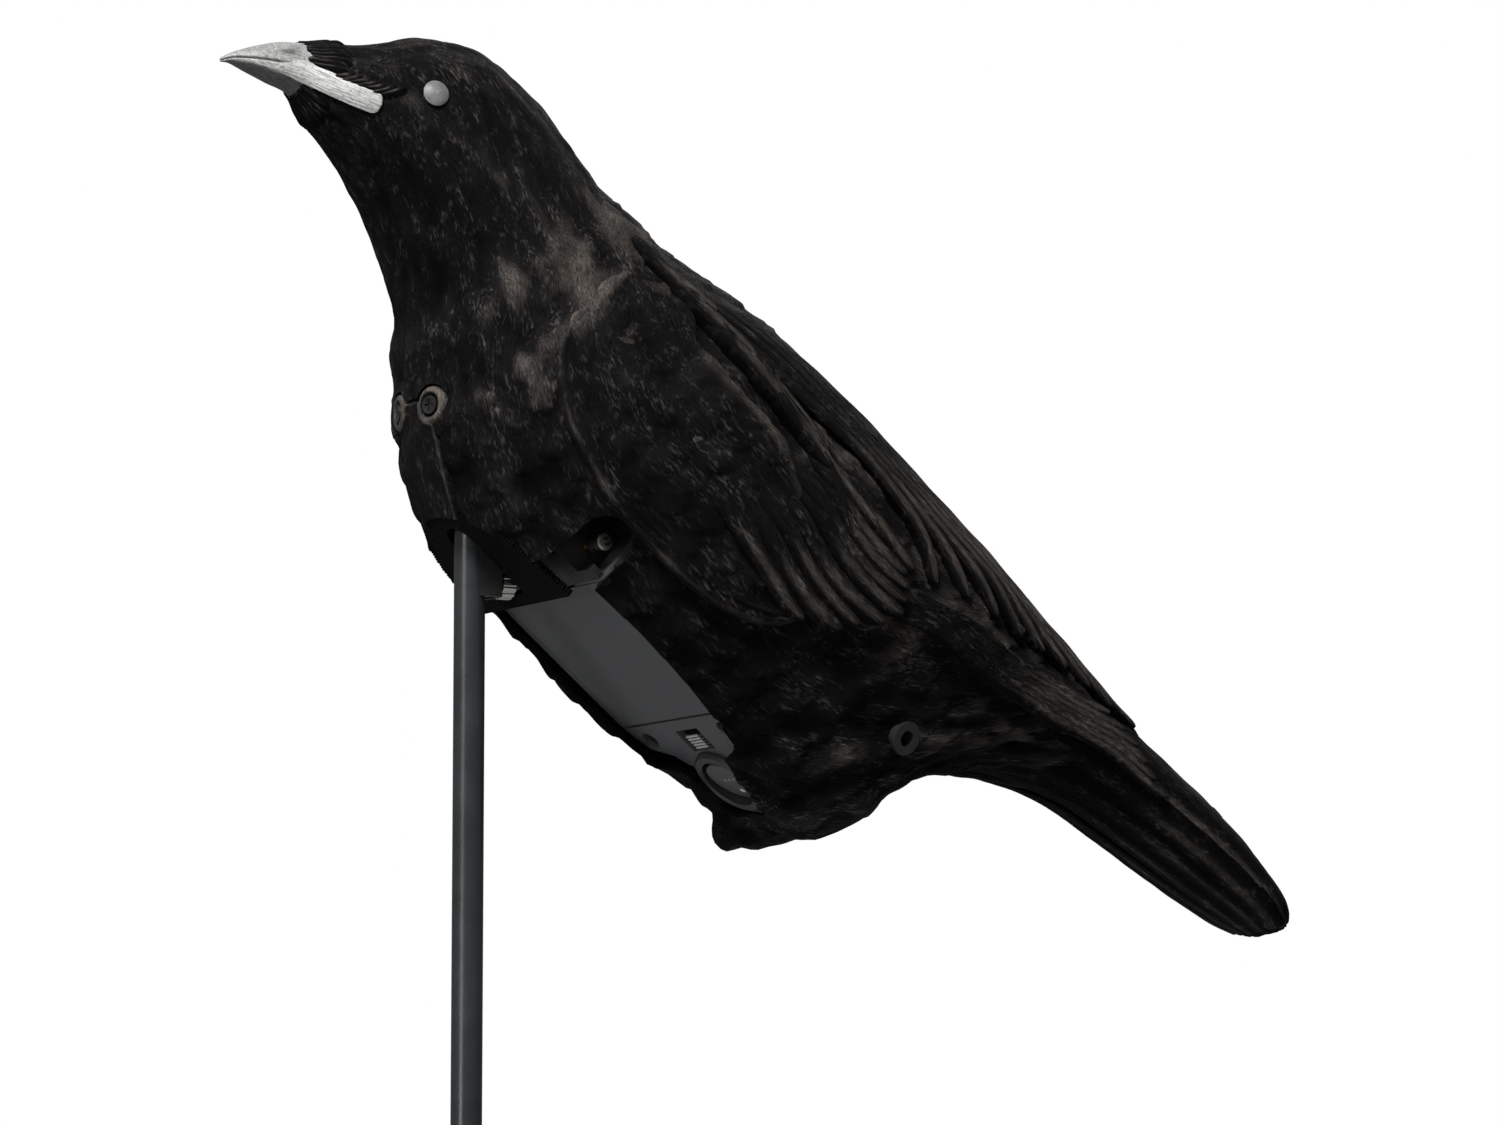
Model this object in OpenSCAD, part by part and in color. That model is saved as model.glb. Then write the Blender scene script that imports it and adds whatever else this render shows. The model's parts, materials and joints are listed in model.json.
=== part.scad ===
// Crow decoy with motor-driven clip-on wings, carried on a two-section ground pole.
// +Z is up, the beak points to -X, and the origin is at ground level on the pole's axis.

/* [Pole] */
// Outside radius of both pole sections
pole_r = 4.75; // [4.7:0.01:4.8]
// Wall of the pole tube
pole_wall = 1.0; // [0.8:0.1:1.2]
// Height at which the two pole sections part
pole_joint_z = 90; // [70:5:110]
// Length of the solid spike below the ground line
buried_length = 110; // [90:5:130]
// Radius of the spike
spike_r = 4.2; // [4:0.05:4.4]
// Length of the driving point
point_length = 26; // [20:1:32]
// How far the joining spigot reaches into each section
spigot_reach = 45; // [35:1:50]

/* [Body] */
// Height of the body's own zero above the ground line
perch_z = 300; // [280:5:340]
// Slope of the belly plate, tail down
body_pitch = 40; // [40:1:40]
// Wall of the moulded body shell
shell_wall = 2.2; // [2:0.1:2.4]

/* [Battery box] */
// Length of the battery door
door_length = 57.6; // [57.6:0.1:57.8]
// Half width of the door at its front edge
door_front_half = 31; // [30.9:0.1:31.1]
// Half width of the door at its rear edge
door_rear_half = 29.3; // [29.2:0.1:29.4]
// Thickness of the door
door_thick = 2; // [1.8:0.1:2]
// Radius of one battery cell
cell_r = 7.1; // [6.9:0.05:7.1]
// Length of one battery cell
cell_length = 48; // [47:0.5:48]

/* [Wing drive] */
// Radius of the hub that carries a wing
hub_r = 2.7; // [2.6:0.1:3.4]
// Radius of the wing socket in the hub
wing_socket_r = 1.25; // [1.2:0.05:1.3]
// Depth of the wing socket
wing_socket_depth = 7; // [6:0.5:7]
// Radius of the drive shaft
shaft_r = 1.0; // [1:0.05:1.1]

/* [Switches] */
// Outside radius of the round power switch
rocker_r = 12.7; // [12.5:0.1:12.8]
// How far the power button is tipped
rocker_tip = 9; // [8:0.5:10]

/* [Hidden] */
$fn = 48;

// Belly frame: its origin is the middle of the door's front edge, on the door's outer face.
door_x = 27.4;
door_z = 4.2;
// The belly skin stands this far outside the door's face, beside the door and in front of it.
side_lip = 4;
front_lip = 9;
// Clearance between pieces that only sit next to each other
gap = 0.3;
// Radial clearance of a shaft, pin or pole that turns or slides in its hole
run_gap = 0.05;
// Drive shaft's place in the belly frame
shaft_x = -7;
shaft_n = -9.5;
hub_inner_y = 26.5;
hub_length = 8;
tray_depth = 19.5;
// How far the spike's plug reaches up into the tube
plug_length = 24;
// The drive motor's round sides and its flats
motor_r = 8.1;
motor_flats = 13;
// Hinge pins of the battery door
hinge_pin_r = 0.6;
hinge_pin_inner_y = 25;
hinge_pin_outer_y = 30.3;
// Battery bay, from its front wall to its rear wall, and the thickness of a contact plate
bay_front_x = 3;
bay_length = 54;
plate_thick = 0.4;
plate_gap = 0.05;
// Turns in a battery contact spring
spring_turns = 5;
tray_wall = 1.6;
ring_x = 85;
rocker_window_r = 9.6;
rocker_pivot_n = -2.6;
door_hinge_x = 56.6;
door_hinge_n = -0.9;
slot_x = 67;
slot_y = 1.5;
cell_pitch = 14.4;
lead_y = 14.75;
cell_n = -10;
cell_front_x = 6;
// Screws that hold the breast cover
screw_y = 9.5;
screw_z = 57;

// Body sections, beak root to tail tip: back point x z, belly point x z, half width, height of the
// widest line as a share of the section's depth.
BODY = [
    [-57, 165, -62, 149, 8, 0.5],
    [-48, 166, -55, 141, 14, 0.5],
    [-36, 167, -46, 132, 19, 0.5],
    [-20, 171, -37, 119, 22, 0.55],
    [-2, 169, -30, 105, 25, 0.55],
    [13, 160, -25, 92, 27, 0.5],
    [27, 146, -21, 78, 30, 0.5],
    [41, 130, -19, 63, 34, 0.45],
    [56, 115, -18, 46, 40, 0.45],
    [74, 106, -12, 27, 46, 0.45],
    [92, 96, -3, 9, 50, 0.48],
    [109, 83, 13, -8, 52, 0.5],
    [127, 68, 29, -26, 52, 0.52],
    [145, 53, 47, -40, 50, 0.52],
    [162, 39, 66, -52, 46, 0.55],
    [180, 24, 88, -59, 41, 0.6],
    [197, 9, 112, -59, 35, 0.6],
    [212, -4, 138, -53, 30, 0.6],
    [228, -19, 165, -46, 26, 0.6],
    [243, -31, 190, -46, 24, 0.6],
    [258, -42, 213, -51, 23, 0.5],
    [272, -53, 236, -63, 23, 0.5],
    [285, -65, 259, -76, 22, 0.5],
    [296, -79, 280, -87, 19, 0.5],
    [301, -88, 293, -93, 11, 0.5]];
BEAK = [
    [-57, 165, -62, 149, 8, 0.5],
    [-66, 164.5, -70, 152, 6.3, 0.5],
    [-74, 162.5, -77, 154.5, 4.4, 0.5],
    [-81, 160, -82.5, 156.5, 2.2, 0.5],
    [-85.3, 157.8, -85.6, 156.6, 0.5, 0.5]];
// Thigh lobes: the section and angle of each lobe's middle, their spreads, and its share of the radius.
thigh_at = 16.5;
thigh_spread = 1.1;
thigh_angle = 62;
thigh_turn = 24;
thigh_swell = 0.38;

function pick(table, i) = table[max(0, min(len(table) - 1, i))];
// Smooth curve through the rows of a table, at row number u
function along(table, u) =
    let (i = floor(min(u, len(table) - 1.001)), f = u - i,
         a = pick(table, i - 1), b = pick(table, i), c = pick(table, i + 1), d = pick(table, i + 2))
    b + 0.5 * f * (c - a + f * (2 * a - 5 * b + 4 * c - d + f * (3 * (b - c) + d - a)));
function swell(u, phi) = 1 + thigh_swell * exp(-pow((u - thigh_at) / thigh_spread, 2))
        * (exp(-pow((angle_off(phi, 360 - thigh_angle)) / thigh_turn, 2))
           + exp(-pow((angle_off(phi, 180 + thigh_angle)) / thigh_turn, 2)));
function angle_off(a, b) = abs(a - b) > 180 ? 360 - abs(a - b) : abs(a - b);
// One point of a section: half an ellipse above the widest line and half an ellipse below it, with the
// whole section drawn in by a wall's thickness.
function skin_point(table, u, phi, wall, swelled) =
    let (s = along(table, u), back = [s[0], s[1]], belly = [s[2], s[3]], d = back - belly,
         dir = d / norm(d), top = back - wall * dir, low = belly + wall * dir,
         mid = low + s[5] * (top - low), k = swelled ? swell(u, phi) : 1,
         rise = sin(phi) > 0 ? (top - mid) * sin(phi) : (mid - low) * sin(phi))
    [mid[0] + k * rise[0], k * (s[4] - wall) * cos(phi), mid[1] + k * rise[1]];

module loft(table, first, last, rings, sides, wall = 0, swelled = true) {
    step = (last - first) / (rings - 1);
    rim = [for (r = [0:rings - 1], j = [0:sides - 1])
        skin_point(table, first + r * step, j * 360 / sides, wall, swelled)];
    nose = rings * sides;
    end_mid = function (r) let (p = [for (j = [0:sides - 1]) rim[r * sides + j]])
        [for (k = [0:2]) [for (q = p) q[k]] * [for (q = p) 1] / sides];
    faces = [for (r = [0:rings - 2], j = [0:sides - 1], h = [0, 1])
        let (k = (j + 1) % sides, a = r * sides + j, b = r * sides + k, c = a + sides, d = b + sides)
        h == 0 ? [a, c, b] : [b, c, d]];
    caps = [for (j = [0:sides - 1], h = [0, 1])
        let (k = (j + 1) % sides, e = (rings - 1) * sides)
        h == 0 ? [nose, j, k] : [nose + 1, e + k, e + j]];
    polyhedron(concat(rim, [end_mid(0), end_mid(rings - 1)]), concat(faces, caps));
}

// Places children in the belly frame: X runs tailwards, Y to the bird's left, Z out of the belly.
module belly() translate([door_x, 0, perch_z + door_z]) rotate([0, 180 + body_pitch, 0])
    rotate([0, 0, 180]) children();
module perch() translate([0, 0, perch_z]) children();
module both_sides() { children(); mirror([0, 1, 0]) children(); }
module across(x, n) translate([x, 0, n]) rotate([-90, 0, 0]) children();

// The prism, across the whole body, that flattens the belly around the door and the clamp.
module belly_cut() belly() rotate([90, 0, 0]) linear_extrude(140, center = true)
    polygon([[-46, front_lip], [-3, front_lip], [-3, side_lip], [70, side_lip], [74, front_lip],
        [140, front_lip], [140, 60], [-90, 60], [-70, 32]]);
// Round-ended window in the belly skin over the rear of the tray
module switch_window() belly() {
    translate([ring_x, 0, -1]) cylinder(r = 15.6, h = 30);
    translate([60, -15.6, -1]) cube([ring_x - 60, 31.2, 30]);
}
module breast_outline(grow) rotate([90, 0, -90]) translate([0, 0, -1.5]) linear_extrude(70)
    union() {
        polygon([[-9, 60 + grow], [9, 60 + grow], [12.5 + grow, 46], [11.5 + grow, 28],
            [9 + grow, 4 - grow], [-9 - grow, 4 - grow], [-11.5 - grow, 28], [-12.5 - grow, 46]]);
        for (side = [-1, 1]) translate([side * screw_y, screw_z]) circle(6.5 + grow);
    }
module arch_cut() belly() both_sides() {
    translate([-9, 22, -5]) rotate([-90, 0, 0]) cylinder(r = 8.5, h = 60);
    translate([-17.5, 22, -5]) cube([17, 60, 16]);
}

module skin_solid(wall, last) perch() loft(BODY, wall > 0 ? 0.4 : 0, last, wall > 0 ? 28 : 42,
    wall > 0 ? 20 : 28, wall);

module body_shell() color([0.05, 0.05, 0.055]) difference() {
    union() {
        difference() {
            skin_solid(0, 24);
            skin_solid(shell_wall, 19.5);
        }
        // floor of the breast, between the pole and the door
        intersection() {
            skin_solid(1, 19.5);
            belly() translate([-46, -50, front_lip - shell_wall]) cube([42.5, 100, shell_wall]);
        }
    }
    belly_cut();
    switch_window();
    // room for the tray's rim, and for the battery door to swing out
    belly() translate([0, 0, -6]) linear_extrude(6 + gap) offset(delta = gap) tray_outline();
    belly() translate([0, 0, -1]) linear_extrude(20) door_outline(1.1);
    perch() breast_outline(0);
    arch_cut();
    cylinder(r = pole_r + 1.6, h = perch_z + 40);
    belly() translate([-24, -6, 0]) cube([16, 12, 30]);
    eyelet_axes() cylinder(r = 4.1, h = 14, center = true);
    eye_axes() cylinder(r = 3.4, h = 8, center = true);
}

module breast_cover() color([0.05, 0.05, 0.055]) difference() {
    intersection() {
        difference() {
            skin_solid(0, 24);
            skin_solid(shell_wall, 19.5);
        }
        perch() breast_outline(-gap);
    }
    belly_cut();
    cylinder(r = pole_r + 1.6, h = perch_z + 40);
    breast_screw_axes() cylinder(r = 1.6, h = 30, center = true);
}

module breast_screw_axes() both_sides() translate([-18, -screw_y, perch_z + screw_z])
    rotate([0, -90, 18]) children();
module breast_cover_screws() color([0.25, 0.25, 0.26]) breast_screw_axes()
    difference() {
        union() {
            translate([0, 0, -9]) cylinder(r = 1.4, h = 9.5);
            translate([0, 0, 0.4]) cylinder(r = 2.8, h = 1.4);
        }
        for (turn = [0, 90]) rotate(turn) translate([-1.8, -0.35, 1.1]) cube([3.6, 0.7, 1]);
    }

module beak() color([0.62, 0.62, 0.62]) perch() loft(BEAK, 0, 4, 13, 20, 0, false);

module eye_axes() both_sides() translate([-24.5, -22.3, perch_z + 149.7]) rotate([77, -45, 0])
    children();
module eyes() color([0.42, 0.42, 0.43]) eye_axes() {
    translate([0, 0, -3]) cylinder(r = 3.2, h = 3.1);
    translate([0, 0, 0.1]) intersection() {
        translate([0, 0, -5.2]) sphere(r = 6.6);
        cylinder(r = 4, h = 3);
    }
}

module eyelet_axes() both_sides() translate([134, -34.2, perch_z - 38]) rotate([113, -33, 0]) children();
module flank_eyelets() color([0.08, 0.08, 0.085]) eyelet_axes() difference() {
    union() {
        translate([0, 0, -4]) cylinder(r = 4, h = 5);
        translate([0, 0, 0.8]) cylinder(r = 5.4, h = 1);
    }
    cylinder(r = 2.6, h = 20, center = true);
}

// Pole, in two sections that push together over a spigot.
module ground_stake() color([0.2, 0.21, 0.22]) difference() {
    cylinder(r = pole_r, h = pole_joint_z);
    translate([0, 0, -1]) cylinder(r = pole_r - pole_wall, h = 400);
}
// Solid spike, plugged into the lower tube, with its shoulder at ground level
module stake_point() color([0.3, 0.31, 0.32]) rotate_extrude()
    polygon([[0, plug_length], [pole_r - pole_wall - 0.02, plug_length], [pole_r - pole_wall - 0.02, 0],
        [spike_r, 0], [spike_r, -buried_length], [0.8, -buried_length - point_length],
        [0, -buried_length - point_length]]);
module upper_pole() color([0.2, 0.21, 0.22]) difference() {
    translate([0, 0, pole_joint_z + gap]) cylinder(r = pole_r, h = perch_z + 72 - pole_joint_z - gap);
    translate([0, 0, pole_joint_z - 1]) cylinder(r = pole_r - pole_wall, h = 400);
}
module pole_spigot() color([0.35, 0.36, 0.37]) translate([0, 0, pole_joint_z - spigot_reach])
    cylinder(r = pole_r - pole_wall - run_gap, h = 2 * spigot_reach);

module pole_socket() color([0.07, 0.07, 0.075]) difference() {
    union() {
        translate([0, 0, perch_z + 30]) cylinder(r = 9, h = 47);
        translate([0, -5, perch_z + 1]) cube([8.6, 10, 34]);
        // arm that joins the socket to the tray
        belly() translate([-34, -4, -16]) cube([14, 8, 10]);
    }
    translate([0, 0, -1]) cylinder(r = pole_r + run_gap, h = perch_z + 74);
    translate([-20, -20, perch_z]) cube([21, 40, 30]);
    clamp_axis() cylinder(r = 2.1, h = 40, center = true);
    clamp_axis() cylinder(r = 3.7, h = 2.6, $fn = 6);
    translate([5.2, -3.3, perch_z + 1]) cube([2.6, 6.6, 4.8]);
}
module clamp_axis() translate([5.2, 0, perch_z + 5.8]) rotate([0, 90, 0]) children();
module clamp_nut() color([0.62, 0.58, 0.45]) clamp_axis() translate([0, 0, 0.2]) difference() {
    cylinder(r = 3.5, h = 2.2, $fn = 6);
    translate([0, 0, -1]) cylinder(r = 2.05, h = 5);
}
module pole_clamp_screw() color([0.72, 0.7, 0.66]) clamp_axis() {
    cylinder(r = 2, h = 6);
    translate([0, 0, 4.1]) difference() {
        cylinder(r = 5, h = 4.4);
        for (a = [0:24:359]) rotate(a) translate([5.2, 0, -1]) cylinder(r = 0.55, h = 7);
    }
}

// Grey tray that carries the batteries, motor and switches.
module tray_outline() {
    polygon([[-20, -25], [-20, 25], [-5, 32.6], [0, 32.8], [60, 31], [68, 27], [72, 18], [77, 14.5],
        [77, -14.5], [72, -18], [68, -27], [60, -31], [0, -32.8], [-5, -32.6]]);
    translate([ring_x, 0]) circle(15);
}
module door_outline(grow) polygon([[-grow, -door_front_half - grow], [-grow, door_front_half + grow],
    [door_length + grow, door_rear_half + grow], [door_length + grow, -door_rear_half - grow]]);
module housing_tray() color([0.27, 0.28, 0.29]) belly() difference() {
    translate([0, 0, -tray_depth]) linear_extrude(tray_depth) tray_outline();
    // door recess, the groove its rear edge swings in, and the battery bay
    translate([0, 0, -door_thick - gap]) linear_extrude(10) door_outline(0);
    translate([56, -29, -door_thick - gap]) cube([2.1, 58, 10]);
    translate([bay_front_x, -29, -tray_depth + tray_wall]) cube([bay_length, 58, 30]);
    // motor bay, under its cover
    translate([-18.2, -16.5, -tray_depth + tray_wall]) cube([19.4, 33, 30]);
    translate([-18.8, -18.4, -2]) cube([18.3, 36.8, 10]);
    // wing hub pockets, open at the sides
    both_sides() {
        translate([-15, 25, -17.5]) cube([14.6, 20, 15.3]);
        translate([-15, 25, -17.5]) cube([9.8, 20, 30]);
    }
    across(shaft_x, shaft_n) cylinder(r = 3, h = 60, center = true);
    // switch and timer bay, open inwards
    translate([60, -13, -tray_depth - 1]) cube([36, 26, tray_depth - 1]);
    translate([60, -16.5, -tray_depth - 1]) cube([11.5, 33, tray_depth - 1]);
    translate([ring_x, 0, -30]) cylinder(r = 10.05, h = 40);
    translate([ring_x, 0, -1.2]) cylinder(r = rocker_r + 0.15, h = 4);
    translate([slot_x - 4.6, slot_y - 6.4, -5]) cube([9.2, 12.8, 8]);
    // ears and their screws
    for (p = SCREWS) translate([p[0], p[1], -40]) cylinder(r = 1.6, h = 60);
    for (p = SCREWS) translate([p[0], p[1], -3]) cylinder(r = 3.2, h = 10);
    // lead passages
    translate([-8, 13.9, -17.6]) cube([75, 1.7, 3.2]);
    // door hinge pin holes
    both_sides() across(door_hinge_x, door_hinge_n) translate([0, 0, 29]) cylinder(r = 0.65, h = 1.6);
}
SCREWS = [[-16.8, 21.4], [-16.8, -21.4], [64.5, 22.5], [64.5, -22.5]];
module housing_screws() color([0.3, 0.3, 0.31]) belly() for (p = SCREWS) translate([p[0], p[1], 0])
    difference() {
        union() {
            translate([0, 0, -24]) cylinder(r = 1.4, h = 21.2);
            translate([0, 0, -2.9]) cylinder(r = 2.7, h = 1.5);
        }
        for (turn = [0, 90]) rotate(turn) translate([-1.7, -0.35, -2.2]) cube([3.4, 0.7, 3]);
    }
module motor_cover() color([0.27, 0.28, 0.29]) belly() translate([-18.6, -18.2, -1.9]) cube([17.9, 36.4, 1.9]);
// Black frame that closes the gap between the tray and the body skin.
module recess_frame() color([0.06, 0.06, 0.065]) difference() {
    intersection() {
        skin_solid(shell_wall + gap, 19.5);
        belly() translate([0, -60, -8]) cube([106, 120, 2]);
    }
    belly() translate([0, 0, -20]) linear_extrude(40) offset(delta = gap) tray_outline();
    arch_cut();
    cylinder(r = 10, h = 600);
}

module battery_door() color([0.27, 0.28, 0.29]) belly() {
    difference() {
        translate([0, 0, -door_thick]) linear_extrude(door_thick) door_outline(-0.35);
        hinge_pins(0.01);
    }
    for (y = [-8, 0, 8]) translate([20, y - 0.6, -door_thick - 0.4]) cube([18, 1.2, 0.5]);
}
module hinge_pins(grow) both_sides() across(door_hinge_x, door_hinge_n)
    translate([0, 0, hinge_pin_inner_y]) cylinder(r = hinge_pin_r + grow, h = hinge_pin_outer_y - hinge_pin_inner_y);
module door_hinge_pins() color([0.6, 0.6, 0.62]) belly() hinge_pins(0);

module battery_cell(i) belly() translate([cell_front_x, (i - 2.5) * cell_pitch, cell_n])
    rotate([0, 90, 0]) {
        up = i % 2 == 0 ? 0 : 1;
        translate([0, 0, up ? 0 : 1.4]) cylinder(r = cell_r, h = cell_length - 1.4);
        translate([0, 0, up ? cell_length - 1.5 : 0]) cylinder(r = 2.6, h = 1.5);
    }
module battery_cell_1() color([0.75, 0.48, 0.2]) battery_cell(1);
module battery_cell_2() color([0.75, 0.48, 0.2]) battery_cell(2);
module battery_cell_3() color([0.75, 0.48, 0.2]) battery_cell(3);
module battery_cell_4() color([0.75, 0.48, 0.2]) battery_cell(4);

// Spring turns as stacked rings at each cell's flat end.
module contact_springs() color([0.78, 0.78, 0.8]) belly() for (i = [1:4])
    translate([i % 2 == 0 ? cell_front_x + cell_length + 0.35 : cell_front_x - 0.35,
        (i - 2.5) * cell_pitch, cell_n]) rotate([0, i % 2 == 0 ? 90 : -90, 0])
        for (turn = [0:spring_turns - 1]) translate([0, 0, turn * 0.42]) rotate_extrude()
            translate([3.4 - turn * 0.4, 0]) circle(r = 0.28, $fn = 16);
module contact_plates() color([0.75, 0.75, 0.77]) belly() for (i = [1:4])
    translate([i % 2 == 0 ? bay_front_x + bay_length - plate_thick - plate_gap : bay_front_x + plate_gap,
        (i - 2.5) * cell_pitch - 5.5, cell_n - 5.5]) cube([plate_thick, 11, 11]);

module motor_profile(half_length, shrink) across(shaft_x, shaft_n) intersection() {
    cylinder(r = motor_r - shrink, h = 2 * half_length, center = true);
    cube([40, motor_flats - 2 * shrink, 2 * half_length + 1], center = true);
}
module motor_can() color([0.7, 0.71, 0.72]) belly() difference() {
    motor_profile(12, 0);
    translate([0, 1, 0]) motor_profile(12, 0.8);
    across(shaft_x, shaft_n) cylinder(r = 3, h = 60, center = true);
}
module motor_end_cap() color([0.9, 0.9, 0.88]) belly() difference() {
    union() {
        translate([0, 13.1, 0]) motor_profile(1, 0);
        translate([0, 12.2, 0]) motor_profile(1, 0.9);
    }
    across(shaft_x, shaft_n) cylinder(r = shaft_r + run_gap, h = 60, center = true);
}
module motor_magnets() color([0.2, 0.2, 0.2]) belly() across(shaft_x, shaft_n) difference() {
    intersection() {
        cylinder(r = motor_r - 0.9, h = 15, center = true);
        cube([40, 8, 40], center = true);
    }
    cylinder(r = motor_r - 2.4, h = 40, center = true);
}
module motor_armature() color([0.7, 0.4, 0.22]) belly() across(shaft_x, shaft_n) difference() {
    union() {
        cylinder(r = motor_r - 2.8, h = 13, center = true);
        translate([0, 0, 6.4]) cylinder(r = 2.6, h = 3.6);
    }
    for (a = [0, 120, 240]) rotate(a) translate([3, -0.6, -8]) cube([4, 1.2, 14.4]);
    cylinder(r = shaft_r, h = 40, center = true);
}
module drive_shaft() color([0.75, 0.76, 0.78]) belly() across(shaft_x, shaft_n)
    cylinder(r = shaft_r, h = 2 * (hub_inner_y + hub_length - wing_socket_depth), center = true);
module shaft_bushings() color([0.72, 0.58, 0.32]) belly() both_sides() across(shaft_x, shaft_n)
    translate([0, 0, 18.6]) difference() {
        cylinder(r = 2.9, h = 5.8);
        translate([0, 0, -1]) cylinder(r = shaft_r + run_gap, h = 9);
    }
module wing_hub() color([0.7, 0.71, 0.72]) belly() across(shaft_x, shaft_n) translate([0, 0, hub_inner_y])
    difference() {
        union() {
            cylinder(r = hub_r, h = hub_length - 1);
            translate([0, 0, hub_length - 1]) cylinder(r = hub_r - 0.4, h = 1);
        }
        translate([0, 0, hub_length - wing_socket_depth]) cylinder(r = wing_socket_r, h = 20);
        translate([0, 0, -1]) cylinder(r = shaft_r, h = hub_length - wing_socket_depth + 1);
    }
module wing_hub_left() wing_hub();
module wing_hub_right() mirror([0, 1, 0]) wing_hub();

module circuit_board() color([0.1, 0.35, 0.2]) belly() translate([60.4, -15, -tray_depth]) cube([10.6, 30, 1.4]);
module board_parts() color([0.12, 0.12, 0.13]) belly() {
    translate([63, -8, -tray_depth + 1.4]) cube([4, 6, 1.6]);
    translate([66, 6, -tray_depth + 1.4]) cylinder(r = 3, h = 6);
    translate([69, -3, -tray_depth + 1.4]) cylinder(r = 1.2, h = 4);
    translate([63, lead_y, -tray_depth + 1.4]) cylinder(r = 0.2, h = 0.6);
}

// Round power switch: bezel, body and a tipping button.
module rocker_bezel() color([0.2, 0.2, 0.21]) belly() translate([ring_x, 0, -1.2]) difference() {
    union() {
        cylinder(r = rocker_r, h = 2.4);
        translate([0, 0, 2.4]) cylinder(r1 = rocker_r, r2 = rocker_r - 0.8, h = 0.8);
    }
    translate([0, 0, -1]) cylinder(r = rocker_window_r, h = 8);
}
module rocker_switch_body() color([0.1, 0.1, 0.105]) belly() translate([ring_x, 0, 0]) difference() {
    translate([0, 0, -17]) cylinder(r = 10, h = 15.8);
    translate([0, 0, -7]) cylinder(r = rocker_window_r, h = 20);
    translate([0, 0, rocker_pivot_n]) rotate([90, 0, 0]) cylinder(r = 0.85, h = 30, center = true);
}
module rocker_button() color([0.24, 0.24, 0.25]) belly() translate([ring_x, 0, rocker_pivot_n])
    rotate([0, rocker_tip, 0]) {
        difference() {
            intersection() {
                sphere(r = 9.2);
                cylinder(r = 8.7, h = 20, center = true);
            }
            translate([-20, -20, -32.4]) cube([40, 40, 30]);
            translate([-20, -20, 3]) cube([40, 40, 30]);
        }
        for (turn = [90, -90]) rotate([turn, 0, 0]) translate([0, 0, 8]) cylinder(r = 0.8, h = 1.85);
    }

module slide_switch_body() color([0.5, 0.5, 0.5]) belly() translate([slot_x, slot_y, 0]) difference() {
    translate([-5.2, -6.9, -8.5]) cube([10.4, 13.8, 6.45]);
    translate([-4.4, -5.3, -7.5]) cube([8.8, 10.6, 10]);
}
module slide_switch_knob() color([0.12, 0.12, 0.125]) belly() translate([slot_x + 1.4, slot_y, 0]) {
    difference() {
        translate([-2.7, -4.9, -7.2]) cube([5.4, 9.8, 6.6]);
        for (x = [-1.8, -0.6, 0.6, 1.8]) translate([x - 0.3, -5, -1.3]) cube([0.6, 10, 1]);
    }
}

// Leads in the passage beside the cells, from the timer board to the motor.
module lead(n) belly() translate([-4, lead_y, n]) rotate([0, 90, 0]) cylinder(r = 0.55, h = 68);
module lead_red() color([0.7, 0.1, 0.08]) lead(-15.2);
module lead_black() color([0.05, 0.05, 0.05]) lead(-16.9);

ground_stake();
stake_point();
upper_pole();
pole_spigot();
body_shell();
breast_cover();
breast_cover_screws();
beak();
eyes();
flank_eyelets();
pole_socket();
pole_clamp_screw();
clamp_nut();
housing_tray();
recess_frame();
motor_cover();
housing_screws();
battery_door();
door_hinge_pins();
battery_cell_1();
battery_cell_2();
battery_cell_3();
battery_cell_4();
contact_springs();
contact_plates();
motor_can();
motor_end_cap();
motor_magnets();
motor_armature();
drive_shaft();
shaft_bushings();
wing_hub_left();
wing_hub_right();
circuit_board();
board_parts();
rocker_bezel();
rocker_switch_body();
rocker_button();
slide_switch_body();
slide_switch_knob();
lead_red();
lead_black();
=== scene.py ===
"""Crow decoy on a two-section ground pole: the looks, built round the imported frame.

Lengths are in millimetres until a mesh is made. Bird coordinates have the pole's axis as X = Y = 0 and the
perch height as Z = 0; the near side of the bird is -Y. A place on the skin is (u, a): u runs from the beak's
tip (-4) through its root (0) to the tail tip (24), and a is the angle in degrees round the body, from 0 on
the back down the near side to 180 on the belly line.
"""
import json
import math

import bpy
import numpy as np
from mathutils import Matrix, Vector


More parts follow.
